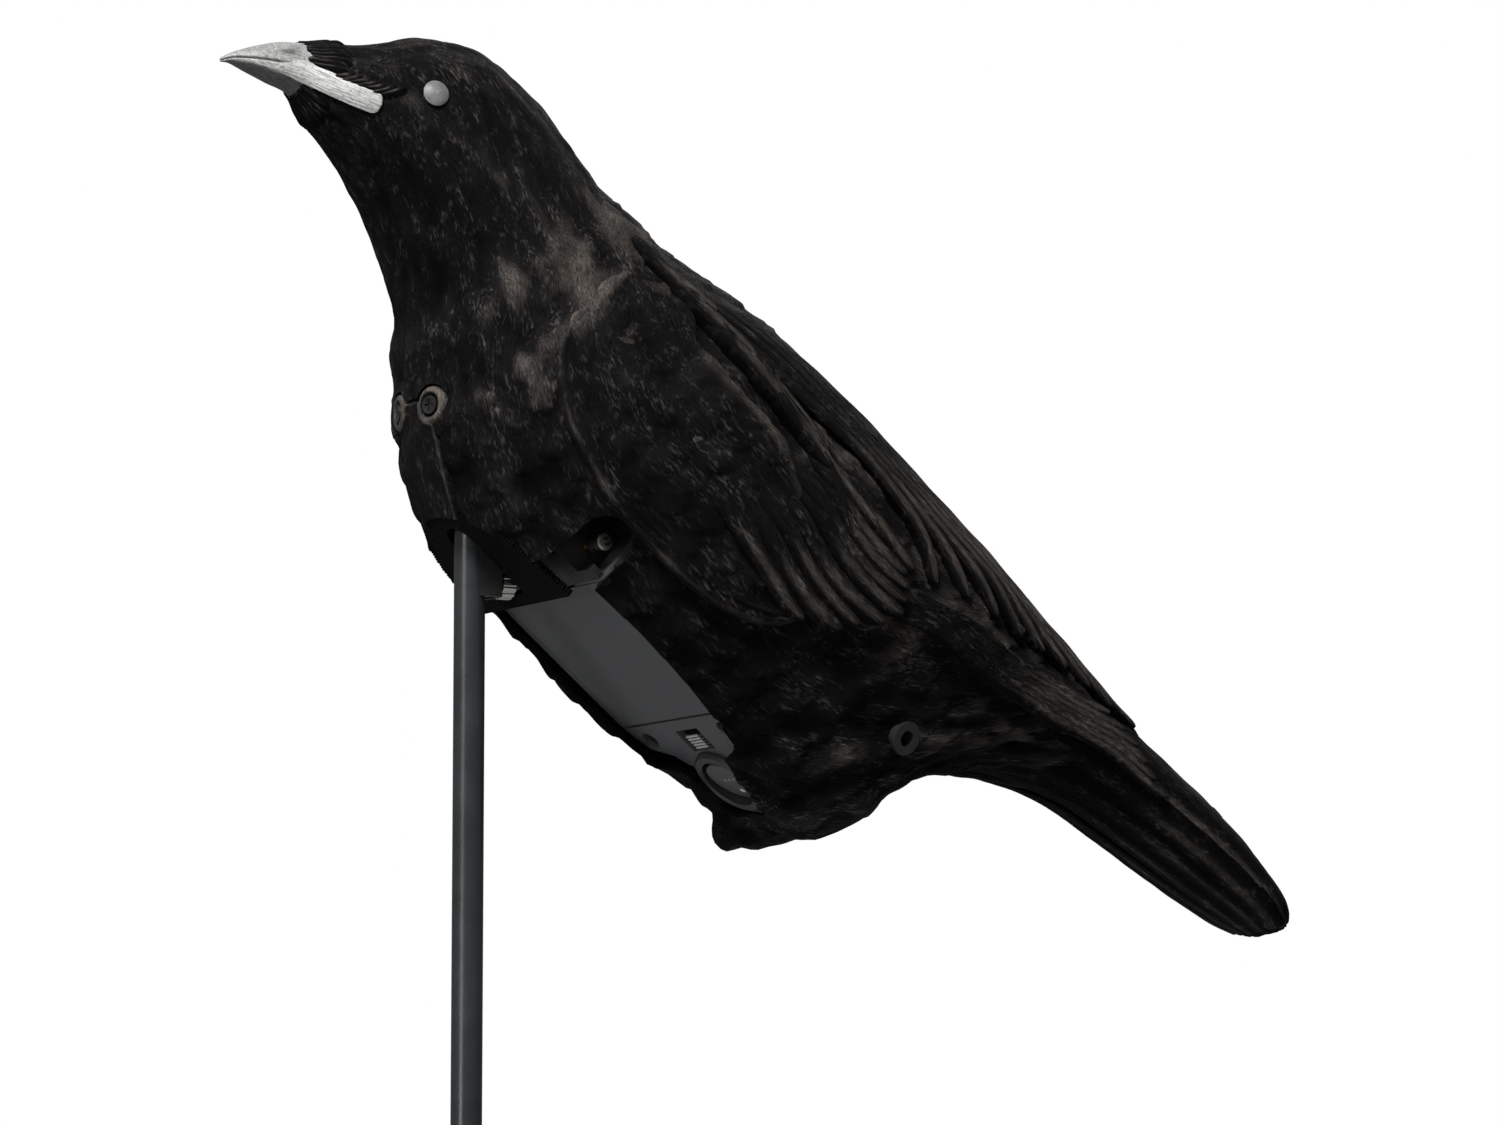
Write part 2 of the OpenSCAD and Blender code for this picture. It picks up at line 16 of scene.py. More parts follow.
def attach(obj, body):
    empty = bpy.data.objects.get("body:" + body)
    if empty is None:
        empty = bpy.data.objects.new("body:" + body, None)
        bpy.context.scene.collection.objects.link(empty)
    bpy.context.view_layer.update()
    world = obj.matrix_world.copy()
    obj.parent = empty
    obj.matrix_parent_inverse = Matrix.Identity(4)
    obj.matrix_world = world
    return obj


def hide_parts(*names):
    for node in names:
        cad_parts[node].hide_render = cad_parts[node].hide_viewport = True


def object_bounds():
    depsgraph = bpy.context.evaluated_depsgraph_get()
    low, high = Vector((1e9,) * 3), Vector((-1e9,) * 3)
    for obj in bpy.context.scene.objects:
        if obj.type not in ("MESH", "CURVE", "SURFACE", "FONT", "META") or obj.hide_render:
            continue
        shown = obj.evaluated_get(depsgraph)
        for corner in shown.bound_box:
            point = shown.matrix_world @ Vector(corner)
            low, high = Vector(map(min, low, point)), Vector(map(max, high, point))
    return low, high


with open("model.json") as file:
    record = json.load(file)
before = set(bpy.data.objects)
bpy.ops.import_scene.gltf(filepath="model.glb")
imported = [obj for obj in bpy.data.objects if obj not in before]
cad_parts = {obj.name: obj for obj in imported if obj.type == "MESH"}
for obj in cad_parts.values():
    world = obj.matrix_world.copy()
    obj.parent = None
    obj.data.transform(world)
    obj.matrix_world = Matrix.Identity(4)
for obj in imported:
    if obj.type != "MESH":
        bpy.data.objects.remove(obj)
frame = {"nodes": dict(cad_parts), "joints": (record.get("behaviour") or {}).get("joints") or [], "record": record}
cad_low, cad_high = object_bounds()

MM = 0.001
JOINTS = {j["name"]: j for j in frame["joints"]}
# Belly frame: x runs tailwards along the door, n out of the belly; both come from the joints.
ALONG = -np.array(JOINTS["mode_slide"]["axis"], float)
OUT = np.array([ALONG[2], 0.0, -ALONG[0]])
HINGE_X, HINGE_N = 56.6, -0.9
DOOR_ORIGIN = np.array(JOINTS["door_hinge"]["pos_m"]) / MM - HINGE_X * ALONG - HINGE_N * OUT
PERCH_Z = round(float(DOOR_ORIGIN[2]) - 4.2)
LIFT_TO_WORLD = np.array([0.0, 0.0, PERCH_Z])
WALL = 2.2

# Sections of the bird from beak tip to tail tip: back point x z, belly point x z, half width, and the height
# of the widest line as a share of the section's depth.
SECTIONS = np.array([
    [-85.3, 157.8, -85.6, 156.6, 0.5, 0.5], [-81, 160, -82.5, 156.5, 2.2, 0.5],
    [-74, 162.5, -77, 154.5, 4.4, 0.5], [-66, 164.5, -70, 152, 6.3, 0.5],
    [-57, 165, -62, 149, 8, 0.5], [-48, 166, -55, 141, 14, 0.5],
    [-36, 167, -46, 132, 19, 0.5], [-20, 171, -37, 119, 22, 0.55],
    [-2, 169, -30, 105, 25, 0.55], [13, 160, -25, 92, 27, 0.5],
    [27, 146, -21, 78, 30, 0.5], [41, 130, -19, 63, 34, 0.45],
    [56, 115, -18, 46, 40, 0.45], [74, 106, -12, 27, 46, 0.45],
    [92, 96, -3, 9, 50, 0.48], [109, 83, 13, -8, 52, 0.5],
    [127, 68, 29, -26, 52, 0.52], [145, 53, 47, -40, 50, 0.52],
    [162, 39, 66, -52, 46, 0.55], [180, 24, 88, -59, 41, 0.6],
    [197, 9, 112, -59, 35, 0.6], [212, -4, 138, -53, 30, 0.6],
    [228, -19, 165, -46, 26, 0.6], [243, -31, 190, -46, 24, 0.6],
    [258, -42, 213, -51, 23, 0.5], [272, -53, 236, -63, 23, 0.5],
    [285, -65, 259, -76, 22, 0.5], [296, -79, 280, -87, 19, 0.5],
    [301, -88, 293, -93, 11, 0.5]])
BEAK_TIP, TAIL_TIP = -4.0, 24.0
STEP_LENGTH = 19.0      # mean length of the body along one unit of u
THIGH = dict(at=16.5, spread=1.1, angle=152.0, turn=24.0, swell=0.38)


# ---- shapes on the skin

def catmull(rows, x):
    """Smooth curve through rows: a cubic between each two rows, with slopes from the rows either side."""
    x = np.clip(x, 0, len(rows) - 1.001)
    i = np.floor(x).astype(int)
    f = (x - i)[..., None]
    a, b, c, d = (rows[np.clip(i + k, 0, len(rows) - 1)] for k in (-1, 0, 1, 2))
    return b + 0.5 * f * (c - a + f * (2 * a - 5 * b + 4 * c - d + f * (3 * (b - c) + d - a)))


def bell(x, width):
    """1 at x = 0, falling to 0 on both sides over about twice the width."""
    return np.exp(-(x / width) ** 2)


def ramp(x, start, end):
    """0 before start, 1 after end, with a smooth rise in between."""
    f = np.clip((x - start) / (end - start), 0, 1)
    return f * f * (3 - 2 * f)


def unit(v):
    """Vectors scaled to length 1."""
    return v / np.linalg.norm(v, axis=-1, keepdims=True)


def skin_point(u, a, wall=0.0, fill=1.0):
    """Point of the plain body: half an ellipse above the section's widest line and half an ellipse below it,
    drawn in by the wall and swelled at the two thighs. fill shrinks the section to its middle."""
    u, a, fill = np.broadcast_arrays(np.asarray(u, float), np.asarray(a, float), fill)
    s = catmull(SECTIONS, u - BEAK_TIP)
    back, belly = s[..., 0:2], s[..., 2:4]
    way = unit(back - belly)
    top, low = back - wall * way, belly + wall * way
    mid = low + s[..., 5:6] * (top - low)
    rad = np.radians(a)
    rise = np.where(np.cos(rad)[..., None] > 0, top - mid, mid - low) * np.cos(rad)[..., None]
    off = np.minimum(np.abs(fold(a) - THIGH["angle"]), 180)
    k = 1 + THIGH["swell"] * bell(u - THIGH["at"], THIGH["spread"]) * bell(off, THIGH["turn"])
    k = k * fill
    side = -(s[..., 4] - wall) * np.sin(rad) * k
    return np.stack([mid[..., 0] + k * rise[..., 0], side, mid[..., 1] + k * rise[..., 1]], -1)


def fold(a):
    """Angle from the back, 0 to 180, on either side."""
    a = np.mod(a, 360)
    return np.minimum(a, 360 - a)


def skin_slopes(u, a):
    """Change of the skin point per unit of u and per degree of a."""
    along = (skin_point(u + 0.02, a) - skin_point(u - 0.02, a)) / 0.04
    round_ = (skin_point(u, a + 0.5) - skin_point(u, a - 0.5)) / 1.0
    return along, round_


def skin_normal(u, a):
    """Unit normal of the plain body, outwards."""
    along, round_ = skin_slopes(u, a)
    n = np.cross(round_, along)
    n = n / (np.linalg.norm(n, axis=-1, keepdims=True) + 1e-9)
    outward = skin_point(u, a) - skin_point(u, a, fill=0.5)
    return n * np.sign((n * outward).sum(-1, keepdims=True))


def lattice_noise(x, y, columns, seed):
    """Smooth noise from -1 to 1 on a lattice of random values that closes on itself after so many columns."""
    table = np.random.default_rng(seed).uniform(-1, 1, (256, columns))
    i, j = np.floor(x).astype(int), np.floor(y).astype(int)
    f, g = ramp(x - i, 0, 1), ramp(y - j, 0, 1)
    corner = lambda di, dj: table[(i + di) % 256, (j + dj) % columns]
    near = corner(0, 0) * (1 - g) + corner(0, 1) * g
    far = corner(1, 0) * (1 - g) + corner(1, 1) * g
    return near * (1 - f) + far * f


def tufts(u, a, seed):
    """Feather tufts: noise drawn out along the body, in a coarse and a finer size."""
    turn = a / 360
    coarse = lattice_noise(u * 1.5 + 40, turn * 40, 40, seed)
    fine = lattice_noise(u * 3.1 + 40, turn * 78, 78, seed + 1)
    return 0.6 * coarse + 0.4 * fine


def scales(u, a, length, count):
    """Overlapping rounded feather tips: each rises towards its tip and drops to the next. length is in u."""
    row = u / length
    i = np.floor(row)
    col = a / 360 * count + 0.5 * np.mod(i, 2)
    across = col - np.floor(col) - 0.5
    rise = np.mod(row + 1.4 * across ** 2, 1)
    return rise * ramp(1 - rise, 0, 0.18)


def border(points, a):
    """Value of u on a border line given as (a, u) points, at each angle a."""
    points = np.array(points, float)
    return np.interp(a, points[:, 0], points[:, 1])


RUFF = [(0, 7.4), (40, 7.2), (60, 7.0), (77, 6.7), (97, 6.3), (133, 6.0), (180, 6.0)]
BREAST_FOLD = [(60, 8.1), (88, 7.5), (101, 7.5), (121, 7.25), (141, 7.3), (180, 7.6)]
WING_EDGE = [(7.75, 60), (7.6, 76), (7.65, 92), (8.0, 104), (8.7, 112.5), (9.5, 117), (10.4, 120.5),
             (11.3, 121), (12.1, 118.5), (12.75, 113.5), (13.1, 106), (13.05, 98)]


THIGH_BORDER = [(108, 14.1), (117, 14.6), (125, 15.6), (143, 16.7), (160, 17.3), (180, 17.5)]


def body_relief(u, a):
    """Height of the moulded relief over the plain body, in mm, and how pale it is painted: wear and painted
    highlight on its raised detail.
    """
    psi = fold(a)
    over_ruff = u - border(RUFF, psi)
    h = 2.6 * ramp(over_ruff, -0.25, 0.45) * bell(np.maximum(over_ruff, 0), 1.3)
    over_fold = u - border(BREAST_FOLD, psi)
    chest = ramp(psi, 70, 92)
    h = h + 2.0 * chest * ramp(over_fold, -0.2, 0.4) * bell(np.maximum(over_fold, 0), 1.1)
    # eye socket, brow and cheek
    h = h - 1.2 * bell(u - 3.15, 0.4) * bell(psi - 83, 10)
    h = h + 1.1 * bell(u - 3.1, 0.9) * bell(psi - 60, 10)
    h = h + 1.2 * bell(u - 3.7, 0.8) * bell(psi - 112, 16)
    # groove under the wing's edge and under the flight feathers
    edge = np.array(WING_EDGE, float)[4:-1]
    below = psi - np.interp(u, edge[:, 0], edge[:, 1])
    on_edge = ramp(u, 8.4, 9.2) * ramp(-u, -13.2, -12.6)
    h = h - 1.8 * on_edge * bell(below - 3, 4)
    under = psi - np.interp(u, [14, 16.7, 18.5, 20], [89, 90, 94, 97])
    h = h - 1.8 * ramp(u, 13.4, 14.4) * ramp(-u, -19.8, -18.6) * bell(under - 5, 8)
    # thigh lobe, with a hollow behind it
    behind = u - border(THIGH_BORDER, psi)
    lower = ramp(psi, 112, 130)
    h = h + 3.2 * lower * ramp(-behind, -0.25, 0.35) * bell(np.minimum(behind + 0.5, 0), 1.5)
    h = h - 2.2 * lower * ramp(behind, -0.1, 0.25) * bell(np.maximum(behind - 0.3, 0), 0.7)
    # tail: lower step by step past the ends of the middle feathers
    h = h - ramp(-psi, -85, -45) * (1.6 * ramp(u, 18.5, 19.5) + 1.6 * ramp(u, 21.3, 22.4))
    # tufts: light on the head, deep on the thighs and under the tail
    depth = np.interp(u, [0, 1, 4, 6.5, 8, 13, 15, 17.5, 19, 20, 24],
                      [0.15, 0.5, 0.6, 0.9, 1.2, 1.2, 1.8, 1.9, 1.1, 0.5, 0.3])
    depth = depth * (1 + 0.4 * ramp(psi, 100, 140) * ramp(u, 13.5, 15) * ramp(-u, -18.5, -17.5))
    tufted = tufts(u, a, 3)
    scaly = ramp(u, 6, 7.5) * ramp(-u, -19, -17.5) * (scales(u, a, 0.62, 34) - 0.3)
    h = h + 1.4 * depth * tufted + 1.2 * scaly
    # hollow round the switch window
    x, y, n = belly_coords(skin_point(u, a))
    from_window = np.hypot(x - np.clip(x, 60, 85), y) - 15.6
    h = h - 6.0 * ramp(-from_window, -12, -1) * ramp(n, 0, 4) * ramp(u, 12, 13)
    # pale: wear and painted highlight on the tuft and scale crowns, the ruff, the breast fold and the thigh lobe's
    # rim
    pale = 0.9 * tufted * np.minimum(depth, 1) + 0.6 * scaly + 0.35 * bell(over_ruff - 0.5, 0.6)
    pale = pale + 0.35 * chest * bell(over_fold - 0.5, 0.5) + 0.5 * lower * bell(behind + 0.5, 0.5)
    return h, pale


def belly_coords(p):
    """x, y, n of bird points in the belly frame; y keeps the world's sign."""
    q = p + LIFT_TO_WORLD - DOOR_ORIGIN
    return q @ ALONG, p[..., 1], q @ OUT


def belly_point(x, y, n):
    """Bird point at x, y, n of the belly frame."""
    x, y, n = np.broadcast_arrays(np.asarray(x, float), y, n)
    return (x[..., None] * ALONG + n[..., None] * OUT + y[..., None] * np.array([0, 1.0, 0])
            + DOOR_ORIGIN - LIFT_TO_WORLD)


BREAST_SCREW_Y, BREAST_SCREW_Z, TAB_R = 9.5, 57.0, 6.5
DOOR_HALF = ([0, 57.6], [31, 29.3])
EYE, EYE_AXIS = np.array([-24.5, -22.3, 149.7]), (77, -45)
EYELET, EYELET_AXIS = np.array([134, -34.2, -38.0]), (113, -33)


def breast_outline(p, grow):
    """Positive inside the breast cover's outline seen from the front: a tapered panel with two round tabs."""
    y, z = np.abs(p[..., 1]), p[..., 2]
    half = np.interp(z, [4, 28, 46, 60], [9, 11.5, 12.5, 9]) + grow
    panel = np.minimum(np.minimum(half - y, 60 + grow - z), z - 4 + grow)
    tab = TAB_R + grow - np.hypot(y - BREAST_SCREW_Y, z - BREAST_SCREW_Z)
    return np.minimum(np.maximum(panel, tab), 1.5 - p[..., 0])


def turned_axis(turn):
    """Direction of a bore whose axis is +Z turned by the two angles about X, then about Z."""
    tilt, spin = math.radians(turn[0]), math.radians(turn[1])
    flat = np.array([0, -math.sin(tilt), math.cos(tilt)])
    return np.array([-flat[1] * math.sin(spin), flat[1] * math.cos(spin), flat[2]])


def bore(p, centre, axis, radius, reach):
    """Positive inside a round hole on either side of the bird, as far as reach along its axis."""
    q = np.stack([p[..., 0], -np.abs(p[..., 1]), p[..., 2]], -1) - centre
    along = q @ axis
    return np.minimum(radius - np.sqrt(np.maximum((q * q).sum(-1) - along ** 2, 0)), reach - np.abs(along))


POLE_HOLE_R, EYE_HOLE_R, EYELET_HOLE_R, SWITCH_WINDOW_R, ARCH_R = 6.35, 3.4, 4.1, 15.6, 8.5
DOOR_GAP = 1.1
PANEL_GAP = 0.45
FLOOR_OUT = 9.0         # outer face of the belly floor


def pole_and_clamp(p):
    """Positive in the way of the pole, and in the window over its clamp screw."""
    x, y, n = belly_coords(p)
    pole = np.minimum(POLE_HOLE_R - np.hypot(p[..., 0], p[..., 1]), 40 - p[..., 2])
    window = np.minimum.reduce([x + 24, -8 - x, 6 - np.abs(y), n])
    return np.maximum(pole, window)


def shell_openings(p):
    """Positive wherever the body shell is open: belly, switch window, door, breast panel, wing arches, pole,
    clamp, eyes and eyelets."""
    x, y, n = belly_coords(p)
    y = np.abs(y)
    lip = np.interp(x, [-95, -70, -46, -3.2, -2.8, 70, 74, 140, 150], [90, 32, 9, 9, 4, 4, 9, 9, 90])
    along = np.clip(x, 60, 85)
    window = np.minimum(SWITCH_WINDOW_R - np.hypot(x - along, y), n + 1)
    door = np.minimum.reduce([np.interp(x, *DOOR_HALF) + DOOR_GAP - y, x + DOOR_GAP, 61.0 - x, n + 4])
    arch_round = ARCH_R - np.hypot(x + 9, n + 5)
    arch_box = np.minimum.reduce([x + 17.5, -0.5 - x, n + 5, 11 - n])
    arch = np.minimum(y - 22, np.maximum(arch_round, arch_box))
    eye = bore(p, EYE, turned_axis(EYE_AXIS), EYE_HOLE_R, 4)
    eyelet = bore(p, EYELET, turned_axis(EYELET_AXIS), EYELET_HOLE_R, 7)
    panel = breast_outline(p, 0)
    return np.maximum.reduce([n - lip, window, door, panel, arch, pole_and_clamp(p), eye, eyelet])


# ---- meshes

def place_object(name, data, matrix=Matrix()):
    """Object of some data, linked into the scene at a matrix."""
    obj = bpy.data.objects.new(name, data)
    obj.matrix_world = matrix
    bpy.context.scene.collection.objects.link(obj)
    return obj


def build(name, points, faces, material, **attributes):
    """Mesh object from bird points in mm, a list of face index arrays, and per-point attributes."""
    points = (np.asarray(points, float) + LIFT_TO_WORLD) * MM
    loops = np.concatenate([f.ravel() for f in faces]).astype(np.int32)
    sizes = np.concatenate([np.full(len(f), f.shape[1]) for f in faces]).astype(np.int32)
    mesh = bpy.data.meshes.new(name)
    mesh.vertices.add(len(points))
    mesh.vertices.foreach_set("co", points.astype(np.float32).ravel())
    mesh.loops.add(len(loops))
    mesh.loops.foreach_set("vertex_index", loops)
    mesh.polygons.add(len(sizes))
    mesh.polygons.foreach_set("loop_start", np.concatenate([[0], np.cumsum(sizes)[:-1]]).astype(np.int32))
    mesh.update(calc_edges=True)
    mesh.polygons.foreach_set("use_smooth", np.ones(len(sizes), bool))
    for key, values in attributes.items():
        values = np.asarray(values, np.float32)
        kind = "FLOAT_VECTOR" if values.ndim == 2 else "FLOAT"
        layer = mesh.attributes.new(key, kind, "POINT")
        layer.data.foreach_set("vector" if values.ndim == 2 else "value", values.ravel())
    mesh.validate()
    mesh.set_sharp_from_angle(angle=math.radians(62))
    mesh.materials.append(material)
    return place_object(name, mesh)


def grid_triangles(rings, sides, closed=True):
    """Triangles of a grid of points, rings by sides, closing on itself round the sides."""
    r, j = np.meshgrid(np.arange(rings - 1), np.arange(sides if closed else sides - 1), indexing="ij")
    k = (j + 1) % sides
    a, b, c, d = r * sides + j, r * sides + k, (r + 1) * sides + j, (r + 1) * sides + k
    return np.concatenate([np.stack([a, b, c], -1).reshape(-1, 3), np.stack([b, d, c], -1).reshape(-1, 3)])


def trim(triangles, field, values):
    """Cuts away the part of a surface where field is positive, through each triangle that crosses zero.
    values holds each point's numbers, which new points share out along their edge."""
    kept = field < 0
    count = kept[triangles].sum(1)
    whole = triangles[count == 3]
    one, two = triangles[count == 1], triangles[count == 2]
    one = np.take_along_axis(one, (np.argmax(kept[one], 1)[:, None] + np.arange(3)) % 3, 1)
    two = np.take_along_axis(two, (np.argmin(kept[two], 1)[:, None] + np.arange(3)) % 3, 1)
    pairs = np.concatenate([one[:, [0, 1]], one[:, [0, 2]], two[:, [1, 0]], two[:, [2, 0]]])
    unique, place = np.unique(pairs, axis=0, return_inverse=True)
    place = place.ravel() + len(values)
    share = (field[unique[:, 0]] / (field[unique[:, 0]] - field[unique[:, 1]]))[:, None]
    values = np.concatenate([values, values[unique[:, 0]] * (1 - share) + values[unique[:, 1]] * share])
    m, w = len(one), len(two)
    p, q, r, s = place[:m], place[m:2 * m], place[2 * m:2 * m + w], place[2 * m + w:]
    small = np.stack([one[:, 0], p, q], 1)
    large = np.concatenate([np.stack([two[:, 1], two[:, 2], r], 1), np.stack([two[:, 2], s, r], 1)])
    triangles = np.concatenate([whole, small, large])
    used, triangles = np.unique(triangles, return_inverse=True)
    return triangles.reshape(-1, 3), values[used]


def thicken(triangles, count):
    """Faces of a closed wall from one surface of count points: its inner copy follows in the point list,
    turned over, and a strip of squares joins the two round every open edge."""
    edges = np.concatenate([triangles[:, [0, 1]], triangles[:, [1, 2]], triangles[:, [2, 0]]])
    key = np.sort(edges, 1)
    _, first, times = np.unique(key, axis=0, return_index=True, return_counts=True)
    rim = edges[first[times == 1]]
    strip = np.stack([rim[:, 1], rim[:, 0], rim[:, 0] + count, rim[:, 1] + count], 1)
    return [np.concatenate([triangles, triangles[:, ::-1] + count]), strip]


def turned_outwards(triangles, points, outwards):
    """The triangles, all turned over if they face against the outward direction."""
    facing = np.cross(points[triangles[:, 1]] - points[triangles[:, 0]],
                      points[triangles[:, 2]] - points[triangles[:, 0]])
    return triangles if (facing * outwards).sum() >= 0 else triangles[:, ::-1]


def wear_light_and_shade(pale, psi):
    """Share of pale wear and painted highlight, 0 to 1, from the relief's own detail; lowered on the underside as
    painted shade.
    """
    return np.clip(0.42 + 0.42 * pale - 0.2 * ramp(psi, 95, 140), 0, 1)


def straight_flow(u, p):
    """Coordinates of the straightened body, in mm: along it, across it, and up its sections."""
    s = catmull(SECTIONS, u - BEAK_TIP)
    way = unit(s[..., 0:2] - s[..., 2:4])
    up = ((p[..., [0, 2]] - s[..., 2:4]) * way).sum(-1)
    return np.stack([u * STEP_LENGTH, p[..., 1], up], -1)


def skin_shell(name, first, last, rings, sides, openings, relief, material, spread=(0, 360)):
    """Moulded wall between first and last of u: the relief outside, the plain body drawn in by the wall
    inside, closed at both ends, and trimmed to the openings."""
    closed = spread[1] - spread[0] == 360
    u, a = np.meshgrid(np.linspace(first, last, rings), np.linspace(*spread, sides, endpoint=not closed),
                       indexing="ij")
    fill = np.ones_like(u)
    if closed:
        closing = np.repeat([[0.0], [0.35], [0.75]], sides, 1)
        fill = np.vstack([closing, fill, closing[::-1]])
        u, a = (np.vstack([v[:1]] * 3 + [v] + [v[-1:]] * 3) for v in (u, a))
        rings += 6
    triangles = grid_triangles(rings, sides, closed)
    values = np.stack([u.ravel(), a.ravel(), fill.ravel()], 1)
    field = openings(skin_point(values[:, 0], values[:, 1], fill=values[:, 2]))
    triangles, values = trim(triangles, field, values)
    u, a, fill = values.T
    height, pale = relief(u, a)
    outer = skin_point(u, a, fill=fill) + (height * fill)[:, None] * skin_normal(u, a)
    inner = skin_point(np.clip(u, first + 0.15, last - 0.12) if closed else u, a, WALL, fill)
    inner = inner + (np.minimum(height, 0) * fill)[:, None] * skin_normal(u, a)
    triangles = turned_outwards(triangles, outer, skin_normal(u, a)[triangles[:, 0]])
    raised = wear_light_and_shade(pale, fold(a))
    points = np.concatenate([outer, inner])
    # the inner wall gets no raised value, so its nap is painted near black as shade
    return build(name, points, thicken(triangles, len(outer)), material,
                 flow=np.concatenate([straight_flow(u, outer), straight_flow(u, inner)]),
                 raised=np.concatenate([raised, 0 * raised]))


def tube(rings, ends=True):
    """Faces of rings of points lofted one to the next and closed at both ends by a flat cap."""
    count, sides = rings.shape[:2]
    r, j = np.meshgrid(np.arange(count - 1), np.arange(sides), indexing="ij")
    k = (j + 1) % sides
    quads = np.stack([r * sides + j, r * sides + k, (r + 1) * sides + k, (r + 1) * sides + j], -1)
    caps = [np.arange(sides)[::-1][None], (np.arange(sides) + (count - 1) * sides)[None]] if ends else []
    return [quads.reshape(-1, 4)] + caps


def over_skin(u, a, height, depth):
    """Rings of a closed solid on the skin: its raised surface, then three points of its underside. Also
    returns the columns of the surface that those three lie under."""
    pick = [u.shape[1] - 1, u.shape[1] // 2, 0]
    top = skin_point(u, a) + height[..., None] * skin_normal(u, a)
    low = skin_point(u[:, pick], a[:, pick]) - depth * skin_normal(u[:, pick], a[:, pick])
    return np.concatenate([top, low], 1), pick


def tongue(path, half_width, lift, crown, side, steps=44, columns=13, depth=1.0, ribs=0.12, blunt=0.80,
           tilt=0.0):
    """One feather lying on the skin. path is its centre line as (u, a) points; across it, the surface is
    crowned and carries a fine shaft and ribs; its tip is round and its root dives under the skin.
    Returns its rings of points, its flow coordinates and its raised values: wear and painted highlight along the
    crown, painted shade at its edges and underneath."""
    s = np.linspace(0, 1, steps)
    line = catmull(np.array(path, float), s * (len(path) - 1))
    u, a = line[:, 0], line[:, 1]
    along, round_ = skin_slopes(u, a)
    slope = np.gradient(line, s, axis=0)
    way = slope[:, :1] * along + slope[:, 1:] * round_
    length = np.cumsum(np.linalg.norm(way, axis=1)) / steps
    normal = skin_normal(u, a)
    cross = np.cross(normal, unit(way))
    # the step in u and a that moves one millimetre across the feather
    g11, g12, g22 = (along ** 2).sum(1), (along * round_).sum(1), (round_ ** 2).sum(1)
    b1, b2 = (cross * along).sum(1), (cross * round_).sum(1)
    det = g11 * g22 - g12 ** 2
    du, da = (b1 * g22 - b2 * g12) / det, (b2 * g11 - b1 * g12) / det
    tip = np.sqrt(np.clip(1 - np.clip((s - blunt) / (1 - blunt), 0, 1) ** 2.2, 0.003, 1))
    wide = half_width * tip * (0.55 + 0.45 * ramp(s, 0, 0.35))
    t = np.sin(np.linspace(-1, 1, columns) * math.pi / 2)
    uu = u[:, None] + t * (wide * du)[:, None]
    aa = a[:, None] + t * (wide * da)[:, None]
    level = (-depth * 0.8 + (lift + depth * 0.8) * ramp(s, 0, 0.3))[:, None]
    shape = crown * (1 - t ** 2) + 0.25 * crown * bell(t, 0.1) - tilt * t
    rib = ribs * np.sin(t * 15 + 0.35 * length[:, None]) * (1 - t ** 4)
    height = level + (shape + rib) * ramp(s, 0, 0.3)[:, None] * (0.4 + 0.6 * tip[:, None])
    rings, pick = over_skin(uu, aa, height, depth)
    across = t * wide[:, None]
    flow_top = np.stack([0 * across + length[:, None], across, 0 * across], -1)
    flow = np.concatenate([flow_top, flow_top[:, pick]], 1)
    # painted highlight and wear along the crown, off its middle, with painted shade towards the feather's edges
    ridge_wear_and_light = -0.7 + 1.7 * bell(t + 0.3, 0.45)[None] * (0.3 + 0.7 * ramp(s, 0.25, 0.6))[:, None]
    ridge_wear_and_light = wear_light_and_shade(ridge_wear_and_light * (0.5 + 0.5 * tip[:, None]), np.abs(aa))
    # the underside points get no raised value: their nap is painted near black as shade
    raised = np.concatenate([ridge_wear_and_light, np.zeros((steps, 3))], 1)
    if side < 0:
        rings = rings * np.array([1, -1, 1])
        rings, flow, raised = rings[:, ::-1], flow[:, ::-1], raised[:, ::-1]
    return rings, flow, raised


def feather_piece(name, feathers, material):
    """One object from many feathers, each a closed solid."""
    points, faces, flow, raised, start = [], [], [], [], 0
    for number, (rings, its_flow, its_raised) in enumerate(feathers):
        points.append(rings.reshape(-1, 3))
        flow.append(its_flow.reshape(-1, 3) + [17.0 * number, 31.0 * number, 11.0 * number])
        raised.append(its_raised.ravel())
        faces += [f + start for f in tube(rings)]
        start += len(points[-1])
    return build(name, np.concatenate(points), faces, material, flow=np.concatenate(flow),
                 raised=np.concatenate(raised))


# ---- shader helpers

def set_inputs(tree, node, values):
    """Links or sets some of a node's inputs."""
    for key, value in values.items():
        if isinstance(value, bpy.types.NodeSocket):
            tree.links.new(value, node.inputs[key])
        else:
            node.inputs[key].default_value = value


def add(tree, kind, inputs=None, **settings):
    """Node in a tree, with its settings and its inputs."""
    node = tree.nodes.new(kind)
    for key, value in settings.items():
        setattr(node, key, value)
    set_inputs(tree, node, inputs or {})
    return node


def shared_group(name, inputs, outputs):
    """Empty node group with named sockets; inputs are (name, kind, default) and outputs (name, kind)."""
    tree = bpy.data.node_groups.new(name, "ShaderNodeTree")
    for label, kind, default in inputs:
        socket = tree.interface.new_socket(label, in_out="INPUT", socket_type=kind)
        if default is not None:
            socket.default_value = default
    for label, kind in outputs:
        tree.interface.new_socket(label, in_out="OUTPUT", socket_type=kind)
    return tree, add(tree, "NodeGroupInput"), add(tree, "NodeGroupOutput")


